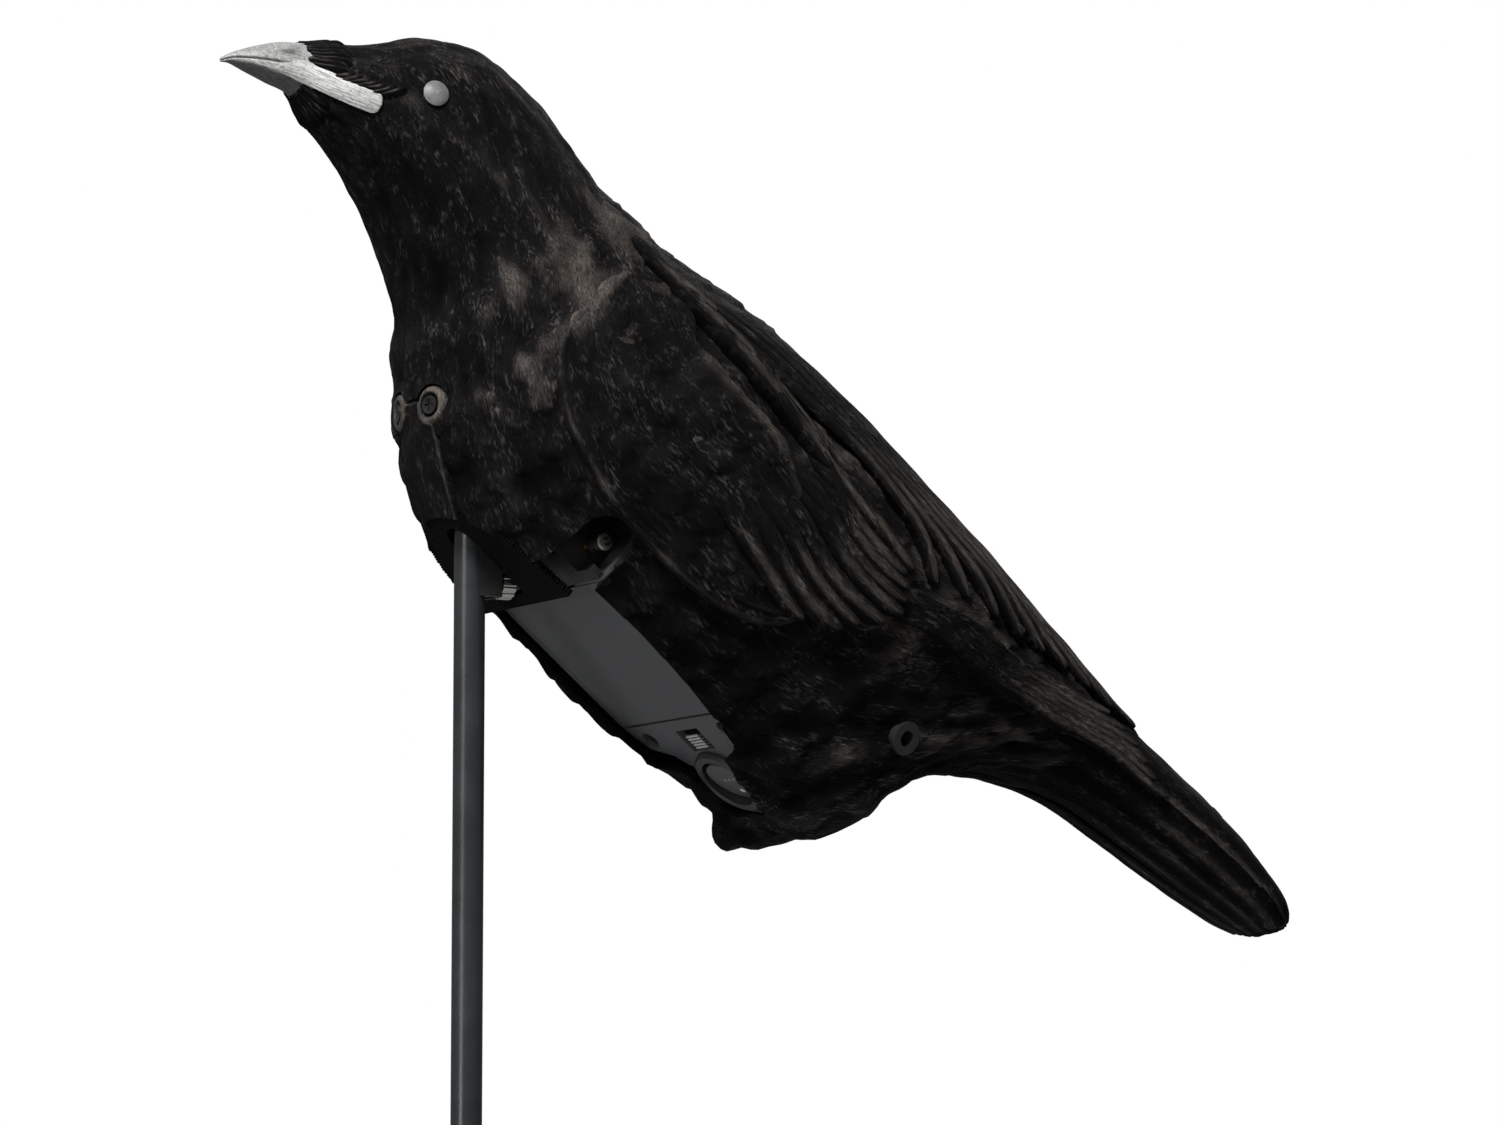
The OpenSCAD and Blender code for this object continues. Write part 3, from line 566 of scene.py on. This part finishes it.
def stretched_noise_group():
    """Noise on a vector divided by a length along its x and a width across it: barbs and brushing."""
    tree, start, end = shared_group(
        "stretched_noise",
        [("Vector", "NodeSocketVector", None), ("Length", "NodeSocketFloat", 4.0),
         ("Width", "NodeSocketFloat", 0.6), ("Low", "NodeSocketFloat", 0.35),
         ("High", "NodeSocketFloat", 0.65)],
        [("Value", "NodeSocketFloat")])
    size = add(tree, "ShaderNodeCombineXYZ", {"X": start.outputs["Length"], "Y": start.outputs["Width"],
                                              "Z": start.outputs["Width"]})
    place = add(tree, "ShaderNodeVectorMath", {0: start.outputs["Vector"], 1: size.outputs[0]},
                operation="DIVIDE")
    noise = add(tree, "ShaderNodeTexNoise", {"Vector": place.outputs[0], "Scale": 1.0, "Detail": 2.5})
    spread = add(tree, "ShaderNodeMapRange", {"Value": noise.outputs["Fac"], "From Min": start.outputs["Low"],
                                              "From Max": start.outputs["High"]})
    tree.links.new(spread.outputs["Result"], end.inputs["Value"])
    return tree


def surface_grain_group():
    """Fine moulded grain and broad uneven handling marks, from Object coordinates in metres."""
    tree, start, end = shared_group(
        "surface_grain",
        [("Grain", "NodeSocketFloat", 2500.0), ("Marks", "NodeSocketFloat", 60.0)],
        [("Height", "NodeSocketFloat"), ("Mark", "NodeSocketFloat")])
    place = add(tree, "ShaderNodeTexCoord")
    place = place.outputs["Object"]
    fine = add(tree, "ShaderNodeTexNoise", {"Vector": place, "Scale": start.outputs["Grain"], "Detail": 3.0})
    broad = add(tree, "ShaderNodeTexNoise", {"Vector": place, "Scale": start.outputs["Marks"], "Detail": 6.0,
                                             "Roughness": 0.6})
    mark = add(tree, "ShaderNodeMapRange", {"Value": broad.outputs["Fac"], "From Min": 0.35, "From Max": 0.7})
    tree.links.new(fine.outputs["Fac"], end.inputs["Height"])
    tree.links.new(mark.outputs["Result"], end.inputs["Mark"])
    return tree


STRETCHED_NOISE = stretched_noise_group()
SURFACE_GRAIN = surface_grain_group()


def new_material(name):
    """Material with an empty Principled surface; returns it, its tree and the shader."""
    material = bpy.data.materials.new(name)
    material.use_nodes = True
    tree = material.node_tree
    return material, tree, tree.nodes["Principled BSDF"]


def stretched_noise(tree, vector, length, width, low=0.35, high=0.65):
    """Output of one stretched_noise group placed in a material."""
    values = {"Vector": vector, "Length": length, "Width": width, "Low": low, "High": high}
    return add(tree, "ShaderNodeGroup", values, node_tree=STRETCHED_NOISE).outputs["Value"]


def remap(tree, value, low=0.0, high=1.0, start=0.0, end=1.0):
    """Value spread from start..end to low..high, and held there."""
    return add(tree, "ShaderNodeMapRange", {"Value": value, "From Min": start, "From Max": end, "To Min": low,
                                            "To Max": high}).outputs[0]


def arithmetic(tree, operation, first, second=0.5):
    """Output of one Math node, not clamped."""
    return add(tree, "ShaderNodeMath", {0: first, 1: second}, operation=operation).outputs[0]


def product(tree, *values):
    """Product of several values."""
    result = values[0]
    for value in values[1:]:
        result = arithmetic(tree, "MULTIPLY", result, value)
    return result


def dress(tree, shader, colour, rough, height, distance, strength, **constants):
    """Links a colour, a roughness and a bump height to a shader, and sets its constants."""
    bump = add(tree, "ShaderNodeBump", {"Height": height, "Distance": distance, "Strength": strength})
    set_inputs(tree, shader, {"Base Color": colour, "Roughness": rough, "Normal": bump.outputs[0]})
    set_inputs(tree, shader, constants)


def skin_attributes(tree):
    """The two attributes that every modelled piece carries: its flow coordinates and its raised value."""
    flow = add(tree, "ShaderNodeAttribute", attribute_name="flow").outputs["Vector"]
    return flow, add(tree, "ShaderNodeAttribute", attribute_name="raised").outputs["Fac"]


def mix_colour(tree, factor, first, second):
    """Colour between first and second."""
    return add(tree, "ShaderNodeMix", {0: factor, 6: first, 7: second}, data_type="RGBA").outputs[2]


def flock():
    """Black flocked plastic: short matt fibre strokes along the feathers, pale dust in the nap, raised feather
    edges rubbed to a warm grey brown that is also a painted highlight, and the nap painted near black as shade
    where the raised value is low."""
    material, tree, shader = new_material("black_flock")
    flow, raised = skin_attributes(tree)
    strokes = stretched_noise(tree, flow, 3.2, 0.45)
    specks = stretched_noise(tree, flow, 2.6, 0.8, 0.5, 0.68)
    clumps = stretched_noise(tree, flow, 8.0, 4.0, 0.46, 0.64)
    patches = stretched_noise(tree, flow, 16.0, 9.0, 0.3, 0.7)
    uneven = remap(tree, patches, 0.3)
    broken = remap(tree, strokes, 0.3)
    # edge colour: wear on the raised relief, which is also a painted highlight
    wear_and_highlight = product(tree, remap(tree, raised, start=0.48, end=0.95), uneven, broken)
    # painted light: the nap is lighter where the raised value is high and painted near black as shade where it is
    # low
    open_ = remap(tree, raised, start=0.05, end=0.6)
    lit = product(tree, open_, broken, uneven)
    # the dust shows only where the nap is lit
    dust = product(tree, specks, clumps, open_)
    nap = mix_colour(tree, lit, (0.0012, 0.0011, 0.0013, 1), (0.022, 0.0205, 0.0208, 1))
    dusty = mix_colour(tree, dust, nap, (0.105, 0.097, 0.092, 1))
    colour = mix_colour(tree, wear_and_highlight, dusty, (0.19, 0.165, 0.145, 1))
    height = arithmetic(tree, "ADD", product(tree, strokes, 0.6), product(tree, specks, 0.4))
    dress(tree, shader, colour, remap(tree, strokes, 0.72, 0.95), height, 0.00035, 0.9,
          **{"Specular IOR Level": 0.06, "Sheen Weight": 0.02, "Sheen Roughness": 0.45,
             "Sheen Tint": (0.75, 0.68, 0.62, 1)})
    return material


def horn():
    """Painted beak: pale grey brushed lengthwise over a dark ground; the tone attribute says how pale."""
    material, tree, shader = new_material("horn_grey")
    flow, tone = skin_attributes(tree)
    brushed = stretched_noise(tree, flow, 7.0, 0.5, 0.3, 0.62)
    specks = stretched_noise(tree, flow, 1.3, 0.7, 0.3, 0.5)
    cover = product(tree, remap(tree, brushed, 0.45), tone)
    pale = mix_colour(tree, specks, (0.42, 0.415, 0.41, 1), (0.74, 0.735, 0.72, 1))
    colour = mix_colour(tree, cover, (0.022, 0.022, 0.023, 1), pale)
    dress(tree, shader, colour, remap(tree, brushed, 0.62, 0.4), brushed, 0.00015, 0.8)
    return material


def hard_finish(slot, metallic, smoothest, roughest, grain, depth, marks, lighter, coat):
    """Plastic or metal in the record's own colour, a little lighter and rougher where it has been handled,
    over a fine grain."""
    base = next(m["base_color"] for m in frame["record"]["materials"] if m["slot"] == slot)
    material, tree, shader = new_material(slot)
    group = add(tree, "ShaderNodeGroup", {"Grain": grain, "Marks": marks}, node_tree=SURFACE_GRAIN)
    pale = tuple(min(1.0, c * lighter) for c in base)
    colour = mix_colour(tree, group.outputs["Mark"], (*base, 1), (*pale, 1))
    rougher = remap(tree, group.outputs["Mark"], smoothest, roughest)
    dress(tree, shader, colour, rougher, group.outputs["Height"], depth * MM, 1.0,
          **{"Metallic": metallic, "Coat Weight": coat})
    return material


# ---- pieces of the bird

FLOCK = flock()
HORN = horn()


def belongs(obj, slot, *replaced):
    """Attaches a piece to the bird's body and hides the CAD nodes it stands for; slot, its finish, is not used."""
    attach(obj, "bird")
    if replaced:
        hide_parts(*replaced)
    return obj


def body_skin():
    """The whole moulded body, from the beak's root to the tail tip."""
    piece = skin_shell("body_skin", 0.0, TAIL_TIP, 290, 150, shell_openings, body_relief, FLOCK)
    return belongs(piece, "black_flock", "body_shell")


def belly_floor():
    """Flat floor in front of the door: it runs out to the skin on both sides, with the pole's hole and the
    clamp's window through it."""
    u, a = np.meshgrid(np.linspace(7, 15, 161), np.linspace(91, 180, 181), indexing="ij")
    x, y, n = (v.ravel() for v in belly_coords(skin_point(u, a)))
    near = np.abs(n - 7.9) < 0.5
    order = np.argsort(x[near])
    edge_x, edge_y = x[near][order], -y[near][order]
    xs = np.linspace(-46, -3.3, 90)
    half = np.interp(xs, edge_x, edge_y) - 0.6
    grid_x = np.repeat(xs, 61)
    grid_y = (half[:, None] * np.linspace(-1, 1, 61)).ravel()
    values = np.stack([grid_x, grid_y], 1)
    field = pole_and_clamp(belly_point(grid_x, grid_y, 8.0))
    triangles, values = trim(grid_triangles(90, 61, False), field, values)
    outer, inner = (belly_point(values[:, 0], values[:, 1], n) for n in (FLOOR_OUT, FLOOR_OUT - WALL))
    triangles = turned_outwards(triangles, outer, OUT)
    flow = np.stack([values[:, 0], values[:, 1], 0 * values[:, 0]], 1)
    # the low raised value leaves no rubbed edges and paints the nap almost black, as painted shade under the belly
    piece = build("belly_floor", np.concatenate([outer, inner]), thicken(triangles, len(outer)), FLOCK,
                  flow=np.concatenate([flow, flow]), raised=np.full(2 * len(outer), 0.08))
    return belongs(piece, "black_flock")


def breast_panel():
    """Clip-in panel on the breast: proud of the skin with a rounded edge, two round screw tabs at its top,
    and a shallow pit for each screw."""
    def height(u, a):
        """Raised panel with rounded edges, its tabs higher, and how pale it is: tuft wear, with a painted
        highlight round the tabs' rims and along the panel's edge.
        """
        p = skin_point(u, a)
        inside = np.clip(breast_outline(p, -PANEL_GAP) / 1.6, 0, 1)
        pit = np.hypot(np.abs(p[..., 1]) - BREAST_SCREW_Y, p[..., 2] - BREAST_SCREW_Z)
        tab = ramp(-pit, -7.5, -5.0)
        h = -0.5 + (1.9 + 0.9 * tab) * np.sqrt(1 - (1 - inside) ** 2)
        tufted = tufts(u, a, 21)
        h = h - 1.9 * ramp(-pit, -3.9, -3.1) + 0.4 * tufted
        # painted highlight on the tabs' rims and just inside the panel's edge, over tuft wear
        return h, 0.6 * tufted + 2.4 * tab * bell(pit - 5.0, 1.2) + 1.0 * bell(inside - 0.6, 0.3)

    def outside(p):
        """Positive off the panel, below the belly floor, and in the way of the pole."""
        n = belly_coords(p)[2]
        return np.maximum.reduce([-breast_outline(p, -PANEL_GAP), n - FLOOR_OUT, pole_and_clamp(p)])

    piece = skin_shell("breast_panel", 6.4, 10.9, 170, 150, outside, height, FLOCK, spread=(140, 220))
    return belongs(piece, "black_flock", "breast_cover")


MOUTH = ([-4, -1, 0, 2.1], [93, 98, 101, 103.5])


def beak_piece():
    """Beak: one moulding with the mouth's line pressed in, the upper half a little wider than the lower,
    tucked under the feathers at its root."""
    u, a = np.meshgrid(np.linspace(BEAK_TIP, 0.95, 190), np.linspace(0, 360, 144, endpoint=False),
                       indexing="ij")
    psi = fold(a)
    below = (psi - np.interp(u, *MOUTH)) * np.linalg.norm(skin_slopes(u, a)[1], axis=-1)
    height = 0.3 * ramp(-below, -0.2, 0.2) - 0.6 * bell(below, 0.32) * ramp(u, -3.9, -3.4)
    end = np.interp(psi, [0, 60, 81, 101, 112, 130, 180], [0.1, 0.2, 0.3, 0.75, 0.8, 0.35, 0.3])
    height = height - 1.6 * ramp(u, end - 0.05, end + 0.12)
    nostril = np.exp(-((u + 0.75) / 0.3) ** 2 - ((psi - 66) / 7) ** 2)
    height = height - 0.7 * nostril
    rings = skin_point(u, a) + height[..., None] * skin_normal(u, a)
    wide = np.interp(u, [-4, -2, 0, 0.9], [0.4, 1.6, 4.2, 6.0])
    upper = 0.62 + 0.2 * ramp(below, -2.5, -0.5)
    # below the mouth line the tone is pale along the line and darker towards the lower mandible's underside
    tone = np.where(below > 0, ramp(wide - below, -0.8, 0.8) * 0.9 + 0.12, upper)
    # painted shade: the tone is darker in the pressed-in mouth line and the nostril pit
    tone = tone * (1 - 0.75 * bell(below, 0.3)) * (1 - 0.7 * nostril)
    piece = build("beak_moulding", rings.reshape(-1, 3), tube(rings[:, ::-1]), HORN,
                  flow=straight_flow(u, rings).reshape(-1, 3), raised=tone.ravel())
    return belongs(piece, "horn_grey", "beak")


def gape_strip():
    """Pale fleshy strip that carries the mouth's corner back under the cheek, one on each side."""
    strips = []
    for side in (1, -1):
        path = [(-1.3, 108), (-0.3, 108), (0.6, 107.5), (1.4, 106), (2.1, 104)]
        rings, flow = tongue(path, 3.2, 0.75, 0.5, side, steps=56, columns=17, ribs=0.0, blunt=0.9)[:2]
        strips.append((rings, flow, np.full(rings.shape[:2], 0.95)))
    return belongs(feather_piece("gape_strips", strips, HORN), "horn_grey")


def flock_feathers(name, rows):
    """Flocked piece of feathers on both sides, from (path, half width, lift, crown, options) rows."""
    feathers = [tongue(path, half, lift, crown, side, **options) for path, half, lift, crown, options in rows
                for side in (1, -1)]
    return belongs(feather_piece(name, feathers, FLOCK), "black_flock")


def covert_feathers():
    """Two rows of short round-ended coverts a side: eight along the wing's lower rear edge, and seven above
    them that make the wavy line of the shoulder."""
    draw = np.random.default_rng(11)
    lower = [(13.2, 104), (13.65, 98.5), (13.95, 92), (14.05, 86), (14.0, 80), (13.9, 74)]
    upper = [(9.5, 49), (10.4, 57.5), (11.3, 62), (12.2, 65), (13.0, 69), (13.8, 72)]
    rows = []
    for line, count, reach, lean, half in ((lower, 8, 2.5, 9.0, 4.6), (upper, 7, 2.1, 10.0, 4.4)):
        ends = catmull(np.array(line, float), np.linspace(0, len(line) - 1, count))
        for end in ends:
            end = end + draw.uniform(-1, 1, 2) * [0.12, 1.0]
            start = end - [reach * draw.uniform(0.9, 1.1), lean]
            middle = 0.5 * (start + end) + [0.0, draw.uniform(0.5, 2.5)]
            rows.append(([start, middle, end], half * draw.uniform(0.9, 1.12), 2.1, 1.9,
                         dict(steps=48, columns=21, tilt=1.3, blunt=0.7)))
    return flock_feathers("covert_feathers", rows)


def scapular_feathers():
    """Nine long feathers a side, laid from the shoulder over the back to the top of the folded wing."""
    rows = []
    for k in range(9):
        path = [(8.2 + 0.25 * k, 42 - 4.4 * k), (10.6 + 0.25 * k, 52 - 4.6 * k),
                (12.4 + 0.33 * k, 50 - 3.6 * k), (13.6 + 0.42 * k, 55 - 3.2 * k),
                (14.3 + 0.55 * k, 70 - 3.6 * k)]
        rows.append((path, 4.9, 1.2 - 0.05 * k, 1.7, dict(steps=64, columns=21, tilt=1.4)))
    return flock_feathers("scapular_feathers", rows)


def primary_feathers():
    """Six long narrow flight feathers a side, running from under the coverts to the tail's root."""
    rows = []
    for k in range(6):
        path = [(13.3 + 0.05 * k, 86 - 1.6 * k), (15.2, 86 - 2.2 * k), (16.8, 87 - 3.2 * k),
                (18.2 - 0.1 * k, 91 - 5 * k), (20.4 - 0.45 * k, 94 - 7 * k)]
        rows.append((path, 2.9, 2.2 - 0.12 * k, 1.3, dict(steps=72, columns=15, tilt=1.1)))
    return flock_feathers("primary_feathers", rows)


def tail_feathers():
    """Six long feathers a side, the middle pair shortest, spread over the tail like a hand of cards."""
    ends = [20.9, 22.2, 22.9, 23.4, 23.8, 23.85]
    lifts = [0.5, -0.6, -1.2, -1.2, -0.6, 0.0]
    rows = []
    for k, end in enumerate(ends):
        psi = 8 + 16.5 * k
        path = [(17.4 + 0.1 * k, 6 + 13 * k), (19.2, psi - 2), (21, psi), (end, psi + 1)]
        rows.append((path, 5.0, lifts[k], 0.8, dict(steps=72, columns=21, tilt=-0.4, blunt=0.93, depth=2.0)))
    return flock_feathers("tail_feathers", rows[::-1])


def undertail_feathers():
    """Three feathers a side under the tail, each with its shaft showing."""
    rows = []
    for psi in (115, 140, 164):
        path = [(18.3, psi - 6), (20, psi - 2), (21.8, psi), (23.7, psi)]
        rows.append((path, 5.4, 0.7, 0.5, dict(steps=64, columns=21, tilt=0.3, blunt=0.93)))
    return flock_feathers("undertail_feathers", rows)


def face_bristles():
    """Short pointed bristles that lie forward over the beak's root on both sides."""
    draw = np.random.default_rng(7)
    slim = dict(steps=24, columns=9, blunt=0.25, ribs=0.2)
    rows = []
    for psi in np.linspace(8, 84, 11):
        end = np.interp(psi, [0, 60, 81, 101], [-0.25, -0.05, 0.1, 0.6]) - draw.uniform(0, 0.22)
        start = end + draw.uniform(1.1, 1.5)
        bend = draw.uniform(-3, 3)
        rows.append(([(start, psi + bend), (0.5 * (start + end), psi), (end, psi + 1.5)], 1.5, 0.75, 0.4,
                     slim))
    for place in np.linspace(0.8, 2.0, 7):
        path = [(place + 0.6, 84), (place + 0.3, 89), (place, 94.5 + draw.uniform(-1, 1.5))]
        rows.append((path, 1.4, 0.7, 0.4, slim))
    for psi in np.linspace(138, 176, 6):
        end = 0.1 + draw.uniform(-0.2, 0.1)
        rows.append(([(end + 1.2, psi), (end + 0.6, psi), (end, psi)], 1.5, 0.5, 0.3, slim))
    return flock_feathers("face_bristles", rows)


SHIELD_TOP = [(7.75, 60), (8.3, 46), (9.0, 52), (9.5, 62), (10.2, 67), (10.9, 69), (11.4, 71), (11.8, 77),
              (12.2, 82), (12.6, 87), (12.95, 93), (13.05, 97.5)]


def wing_shield(name, side):
    """Fore part of the folded wing: a raised shield between two border lines, thick and round along its
    leading edge, thin at the rear, with fine ridges that follow the edge."""
    s = np.linspace(0, 1, 150)
    lower = catmull(np.array(WING_EDGE, float), s * (len(WING_EDGE) - 1))
    upper = catmull(np.array(SHIELD_TOP, float), s ** 0.85 * (len(SHIELD_TOP) - 1))
    t = 1 - (1 - np.linspace(0, 1, 72)) ** 1.6
    u = upper[:, :1] * (1 - t) + lower[:, :1] * t
    a = upper[:, 1:] * (1 - t) + lower[:, 1:] * t
    width = np.linalg.norm(skin_point(*upper.T) - skin_point(*lower.T), axis=-1)[:, None]
    from_edge, from_top = width * (1 - t), width * t
    round_edge = np.sqrt(1 - (1 - np.clip(from_edge / 4.5, 0, 1)) ** 2)
    full = 3.6 * np.sin(np.clip(s, 0.02, 0.98) * math.pi)[:, None] ** 0.35
    height = (full * (1 - 0.5 * ramp(from_edge, 6, 26))) * round_edge * ramp(from_top, -0.5, 3)
    along_edge = (ramp(s, 0.12, 0.3) * ramp(-s, -0.95, -0.8))[:, None]
    for place in (1.2, 3.4, 6.0):
        height = height + 0.5 * along_edge * bell(from_edge - place, 0.7)
    height = height + (1.0 * (scales(u, a, 0.5, 40) - 0.4) + 1.5 * tufts(u, a, 31)) * ramp(from_edge, 5, 9)
    height = height - 0.9 * (1 - ramp(from_top, 0, 1.2))
    rings, pick = over_skin(u, a, height, 1.0)
    flow = straight_flow(np.concatenate([u, u[:, pick]], 1), rings)
    # painted highlights: a band along the leading edge, a patch at the wrist and a band near the shield's top
    # border, over tuft wear
    wrist_highlight = bell(s - 0.1, 0.1)[:, None] * ramp(-from_edge, -14, -6)
    line = bell(from_top - 3, 3.0) * ramp(s, 0.12, 0.25)[:, None]
    pale = 0.7 * bell(from_edge - 2, 1.4) + 1.2 * wrist_highlight + 0.9 * line + 0.7 * tufts(u, a, 31) - 0.25
    raised = wear_light_and_shade(pale, a - 25)
    # the underside points get no raised value: their nap is painted near black as shade
    raised = np.concatenate([raised, np.zeros((len(s), 3))], 1)
    if side > 0:
        rings, flow, raised = rings[:, ::-1], flow[:, ::-1], raised[:, ::-1]
    else:
        rings = rings * np.array([1, -1, 1])
    piece = build(name, rings.reshape(-1, 3), tube(rings), FLOCK, flow=flow.reshape(-1, 3),
                  raised=raised.ravel())
    return belongs(piece, "black_flock")


# ---- finishes of the CAD nodes

# slot: metallic, lowest and highest roughness, grain, its depth in mm, marks, lighter, coat
HARD_FINISHES = dict(
    eye_grey=(0, 0.35, 0.55, 2500, 0.04, 400, 1.6, 0),
    housing_grey=(0, 0.42, 0.6, 3500, 0.03, 90, 1.25, 0),
    black_plastic=(0, 0.3, 0.5, 3000, 0.02, 120, 1.5, 0),
    pole_steel=(0.6, 0.25, 0.36, 4000, 0.01, 45, 1.4, 0),
    bright_steel=(1, 0.16, 0.34, 5000, 0.01, 200, 1.15, 0),
    screw_black=(0.8, 0.28, 0.45, 4000, 0.01, 300, 1.8, 0),
    brass=(1, 0.2, 0.35, 5000, 0.01, 300, 1.1, 0),
    copper=(1, 0.3, 0.5, 5000, 0.02, 400, 1.2, 0),
    cell_wrap=(0, 0.18, 0.3, 900, 0.01, 80, 1.3, 0.3),
    nylon_white=(0, 0.4, 0.55, 2500, 0.02, 150, 1.08, 0),
    board_green=(0, 0.25, 0.4, 2500, 0.02, 250, 1.5, 0.4),
    lead_red=(0, 0.4, 0.55, 2500, 0.04, 200, 1.35, 0),
    lead_black=(0, 0.4, 0.55, 2500, 0.04, 200, 1.8, 0))


def paint(material, colour, centre, half, round_=False, soft=0.3):
    """Paints one region of a finish. centre and half are belly coordinates in mm; half is the size of a box
    from its centre, or of an ellipsoid when round_ is set. soft is the painted edge: mm on a box, and a share
    of the size on an ellipsoid."""
    tree, shader = material.node_tree, material.node_tree.nodes["Principled BSDF"]
    place = add(tree, "ShaderNodeTexCoord").outputs["Object"]
    middle = DOOR_ORIGIN + centre[0] * ALONG + [0, centre[1], 0] + centre[2] * OUT
    inside = None
    for axis, size in zip((ALONG, np.array([0.0, 1.0, 0.0]), OUT), half):
        size = float(size) * MM
        along = add(tree, "ShaderNodeVectorMath", {0: place, 1: tuple(axis)}, operation="DOT_PRODUCT")
        off = arithmetic(tree, "SUBTRACT", along.outputs["Value"], float(middle @ axis) * MM)
        if round_:
            off = arithmetic(tree, "DIVIDE", off, size)
            off = product(tree, off, off)
            inside = off if inside is None else arithmetic(tree, "ADD", inside, off)
        else:
            share = remap(tree, arithmetic(tree, "ABSOLUTE", off), start=size + soft * MM, end=size)
            inside = share if inside is None else product(tree, inside, share)
    if round_:
        inside = remap(tree, inside, start=1.0 + soft, end=1.0)
    under = shader.inputs["Base Color"].links[0].from_socket
    tree.links.new(mix_colour(tree, inside, under, (*colour, 1)), shader.inputs["Base Color"])


WELD_GAP = 0.000002
SHARP_ANGLE = 32        # degrees


def finish_cad_nodes():
    """Gives every CAD node its slot's finish, with smooth round faces that stay sharp at its hard edges."""
    finishes = {slot: hard_finish(slot, *values) for slot, values in HARD_FINISHES.items()}
    finishes.update(black_flock=FLOCK, horn_grey=HORN)
    # painted near black ahead of the door's front edge, and in the switch's slot
    paint(finishes["housing_grey"], (0.009, 0.0085, 0.009), (-50.9, 0, 0), (50, 60, 60))
    paint(finishes["nylon_white"], (0.01, 0.01, 0.01), (67, 1.5, -5), (7, 8, 4.2))
    # painted highlight on the ribs of the slide switch's knob, and the moulded dots on the power button
    paint(finishes["black_plastic"], (0.55, 0.55, 0.54), (68.4, 1.5, -0.5), (2.8, 5.0, 0.55), soft=0.2)
    for across in (-2.3, 0.0, 2.3):
        paint(finishes["housing_grey"], (0.45, 0.45, 0.44), (84.6, across, 3), (0.45, 0.45, 9), True)
    paint(finishes["housing_grey"], (0.75, 0.75, 0.73), (90.4, 0.4, 3), (0.95, 0.95, 9), True)
    for part in frame["record"]["subparts"]:
        obj = frame["nodes"][part["node"]]
        obj.data.materials.clear()
        obj.data.materials.append(finishes[part["material_slot"]])
        obj.data.polygons.foreach_set("use_smooth", np.ones(len(obj.data.polygons), bool))
        weld = obj.modifiers.new("weld", "WELD")
        weld.merge_threshold = WELD_GAP
        split = obj.modifiers.new("edges", "EDGE_SPLIT")
        split.split_angle = math.radians(SHARP_ANGLE)


# ---- stage

CAMERA_AZIMUTH, CAMERA_ELEVATION, CAMERA_LENS = -31.2, -7.2, 135
CAMERA_PLACE = (-0.80407, -1.49176, 0.09764)


def camera():
    """Camera below the bird's left shoulder, looking up at it a little."""
    a, e = math.radians(CAMERA_AZIMUTH), math.radians(CAMERA_ELEVATION)
    right = Vector((math.cos(a), math.sin(a), 0))
    back = Vector((math.sin(a) * math.cos(e), -math.cos(a) * math.cos(e), math.sin(e)))
    up = back.cross(right)
    data = bpy.data.cameras.new("camera")
    data.lens = CAMERA_LENS
    data.sensor_width = 36
    data.clip_start = 0.05
    turn = Matrix((right, up, back)).transposed().to_4x4()
    bpy.context.scene.camera = place_object("camera", data, Matrix.Translation(CAMERA_PLACE) @ turn)


BODY_MIDDLE = (0.08, 0, PERCH_Z * MM)
# name, place and aim in metres, size, watts
LIGHTS = [("key_light", (-0.75, -0.8, 1.5), BODY_MIDDLE, 0.5, 27),
          ("side_light", (-1.7, -0.6, 0.8), BODY_MIDDLE, 0.5, 4),
          ("rear_light", (0.9, 0.9, 1.3), BODY_MIDDLE, 0.7, 9),
          ("pole_light", (-1.3, -0.45, 0.05), (0, 0, 0.12), 0.25, 2.2)]
FLOOR_HALF = 6.0


def area_light(name, place, aim, size, watts):
    """Square soft light that points from place to aim."""
    data = bpy.data.lights.new(name, "AREA")
    data.size = size
    data.energy = watts
    turn = (Vector(aim) - Vector(place)).to_track_quat("-Z", "Y")
    place_object(name, data, Matrix.Translation(place) @ turn.to_matrix().to_4x4())


def studio():
    """White surroundings, four soft lights, and a floor under the spike that is pale to the camera only."""
    world = bpy.data.worlds.new("studio")
    world.use_nodes = True
    tree = world.node_tree
    seen = add(tree, "ShaderNodeLightPath").outputs["Is Camera Ray"]
    set_inputs(tree, tree.nodes["Background"], {"Color": (1, 1, 1, 1), "Strength": remap(tree, seen, 0.12)})
    bpy.context.scene.world = world
    bpy.context.scene.view_settings.view_transform = "Standard"
    for row in LIGHTS:
        area_light(*row)
    corners = [(x * FLOOR_HALF, y * FLOOR_HALF, cad_low[2]) for x, y in ((-1, -1), (1, -1), (1, 1), (-1, 1))]
    mesh = bpy.data.meshes.new("floor")
    mesh.from_pydata(corners, [], [(0, 1, 2, 3)])
    floor = place_object("floor", mesh)
    material, tree, shader = new_material("floor_paper")
    seen = add(tree, "ShaderNodeLightPath").outputs["Is Camera Ray"]
    colour = mix_colour(tree, seen, (0.3, 0.3, 0.3, 1), (0.86, 0.86, 0.86, 1))
    set_inputs(tree, shader, {"Base Color": colour, "Roughness": 0.9, "Emission Color": (1, 1, 1, 1),
                              "Emission Strength": remap(tree, seen, 0.02, 0.2)})
    mesh.materials.append(material)


camera()
body_skin()
belly_floor()
breast_panel()
beak_piece()
gape_strip()
wing_shield("wing_shield_left", 1)
wing_shield("wing_shield_right", -1)
covert_feathers()
scapular_feathers()
primary_feathers()
tail_feathers()
undertail_feathers()
face_bristles()
finish_cad_nodes()
studio()
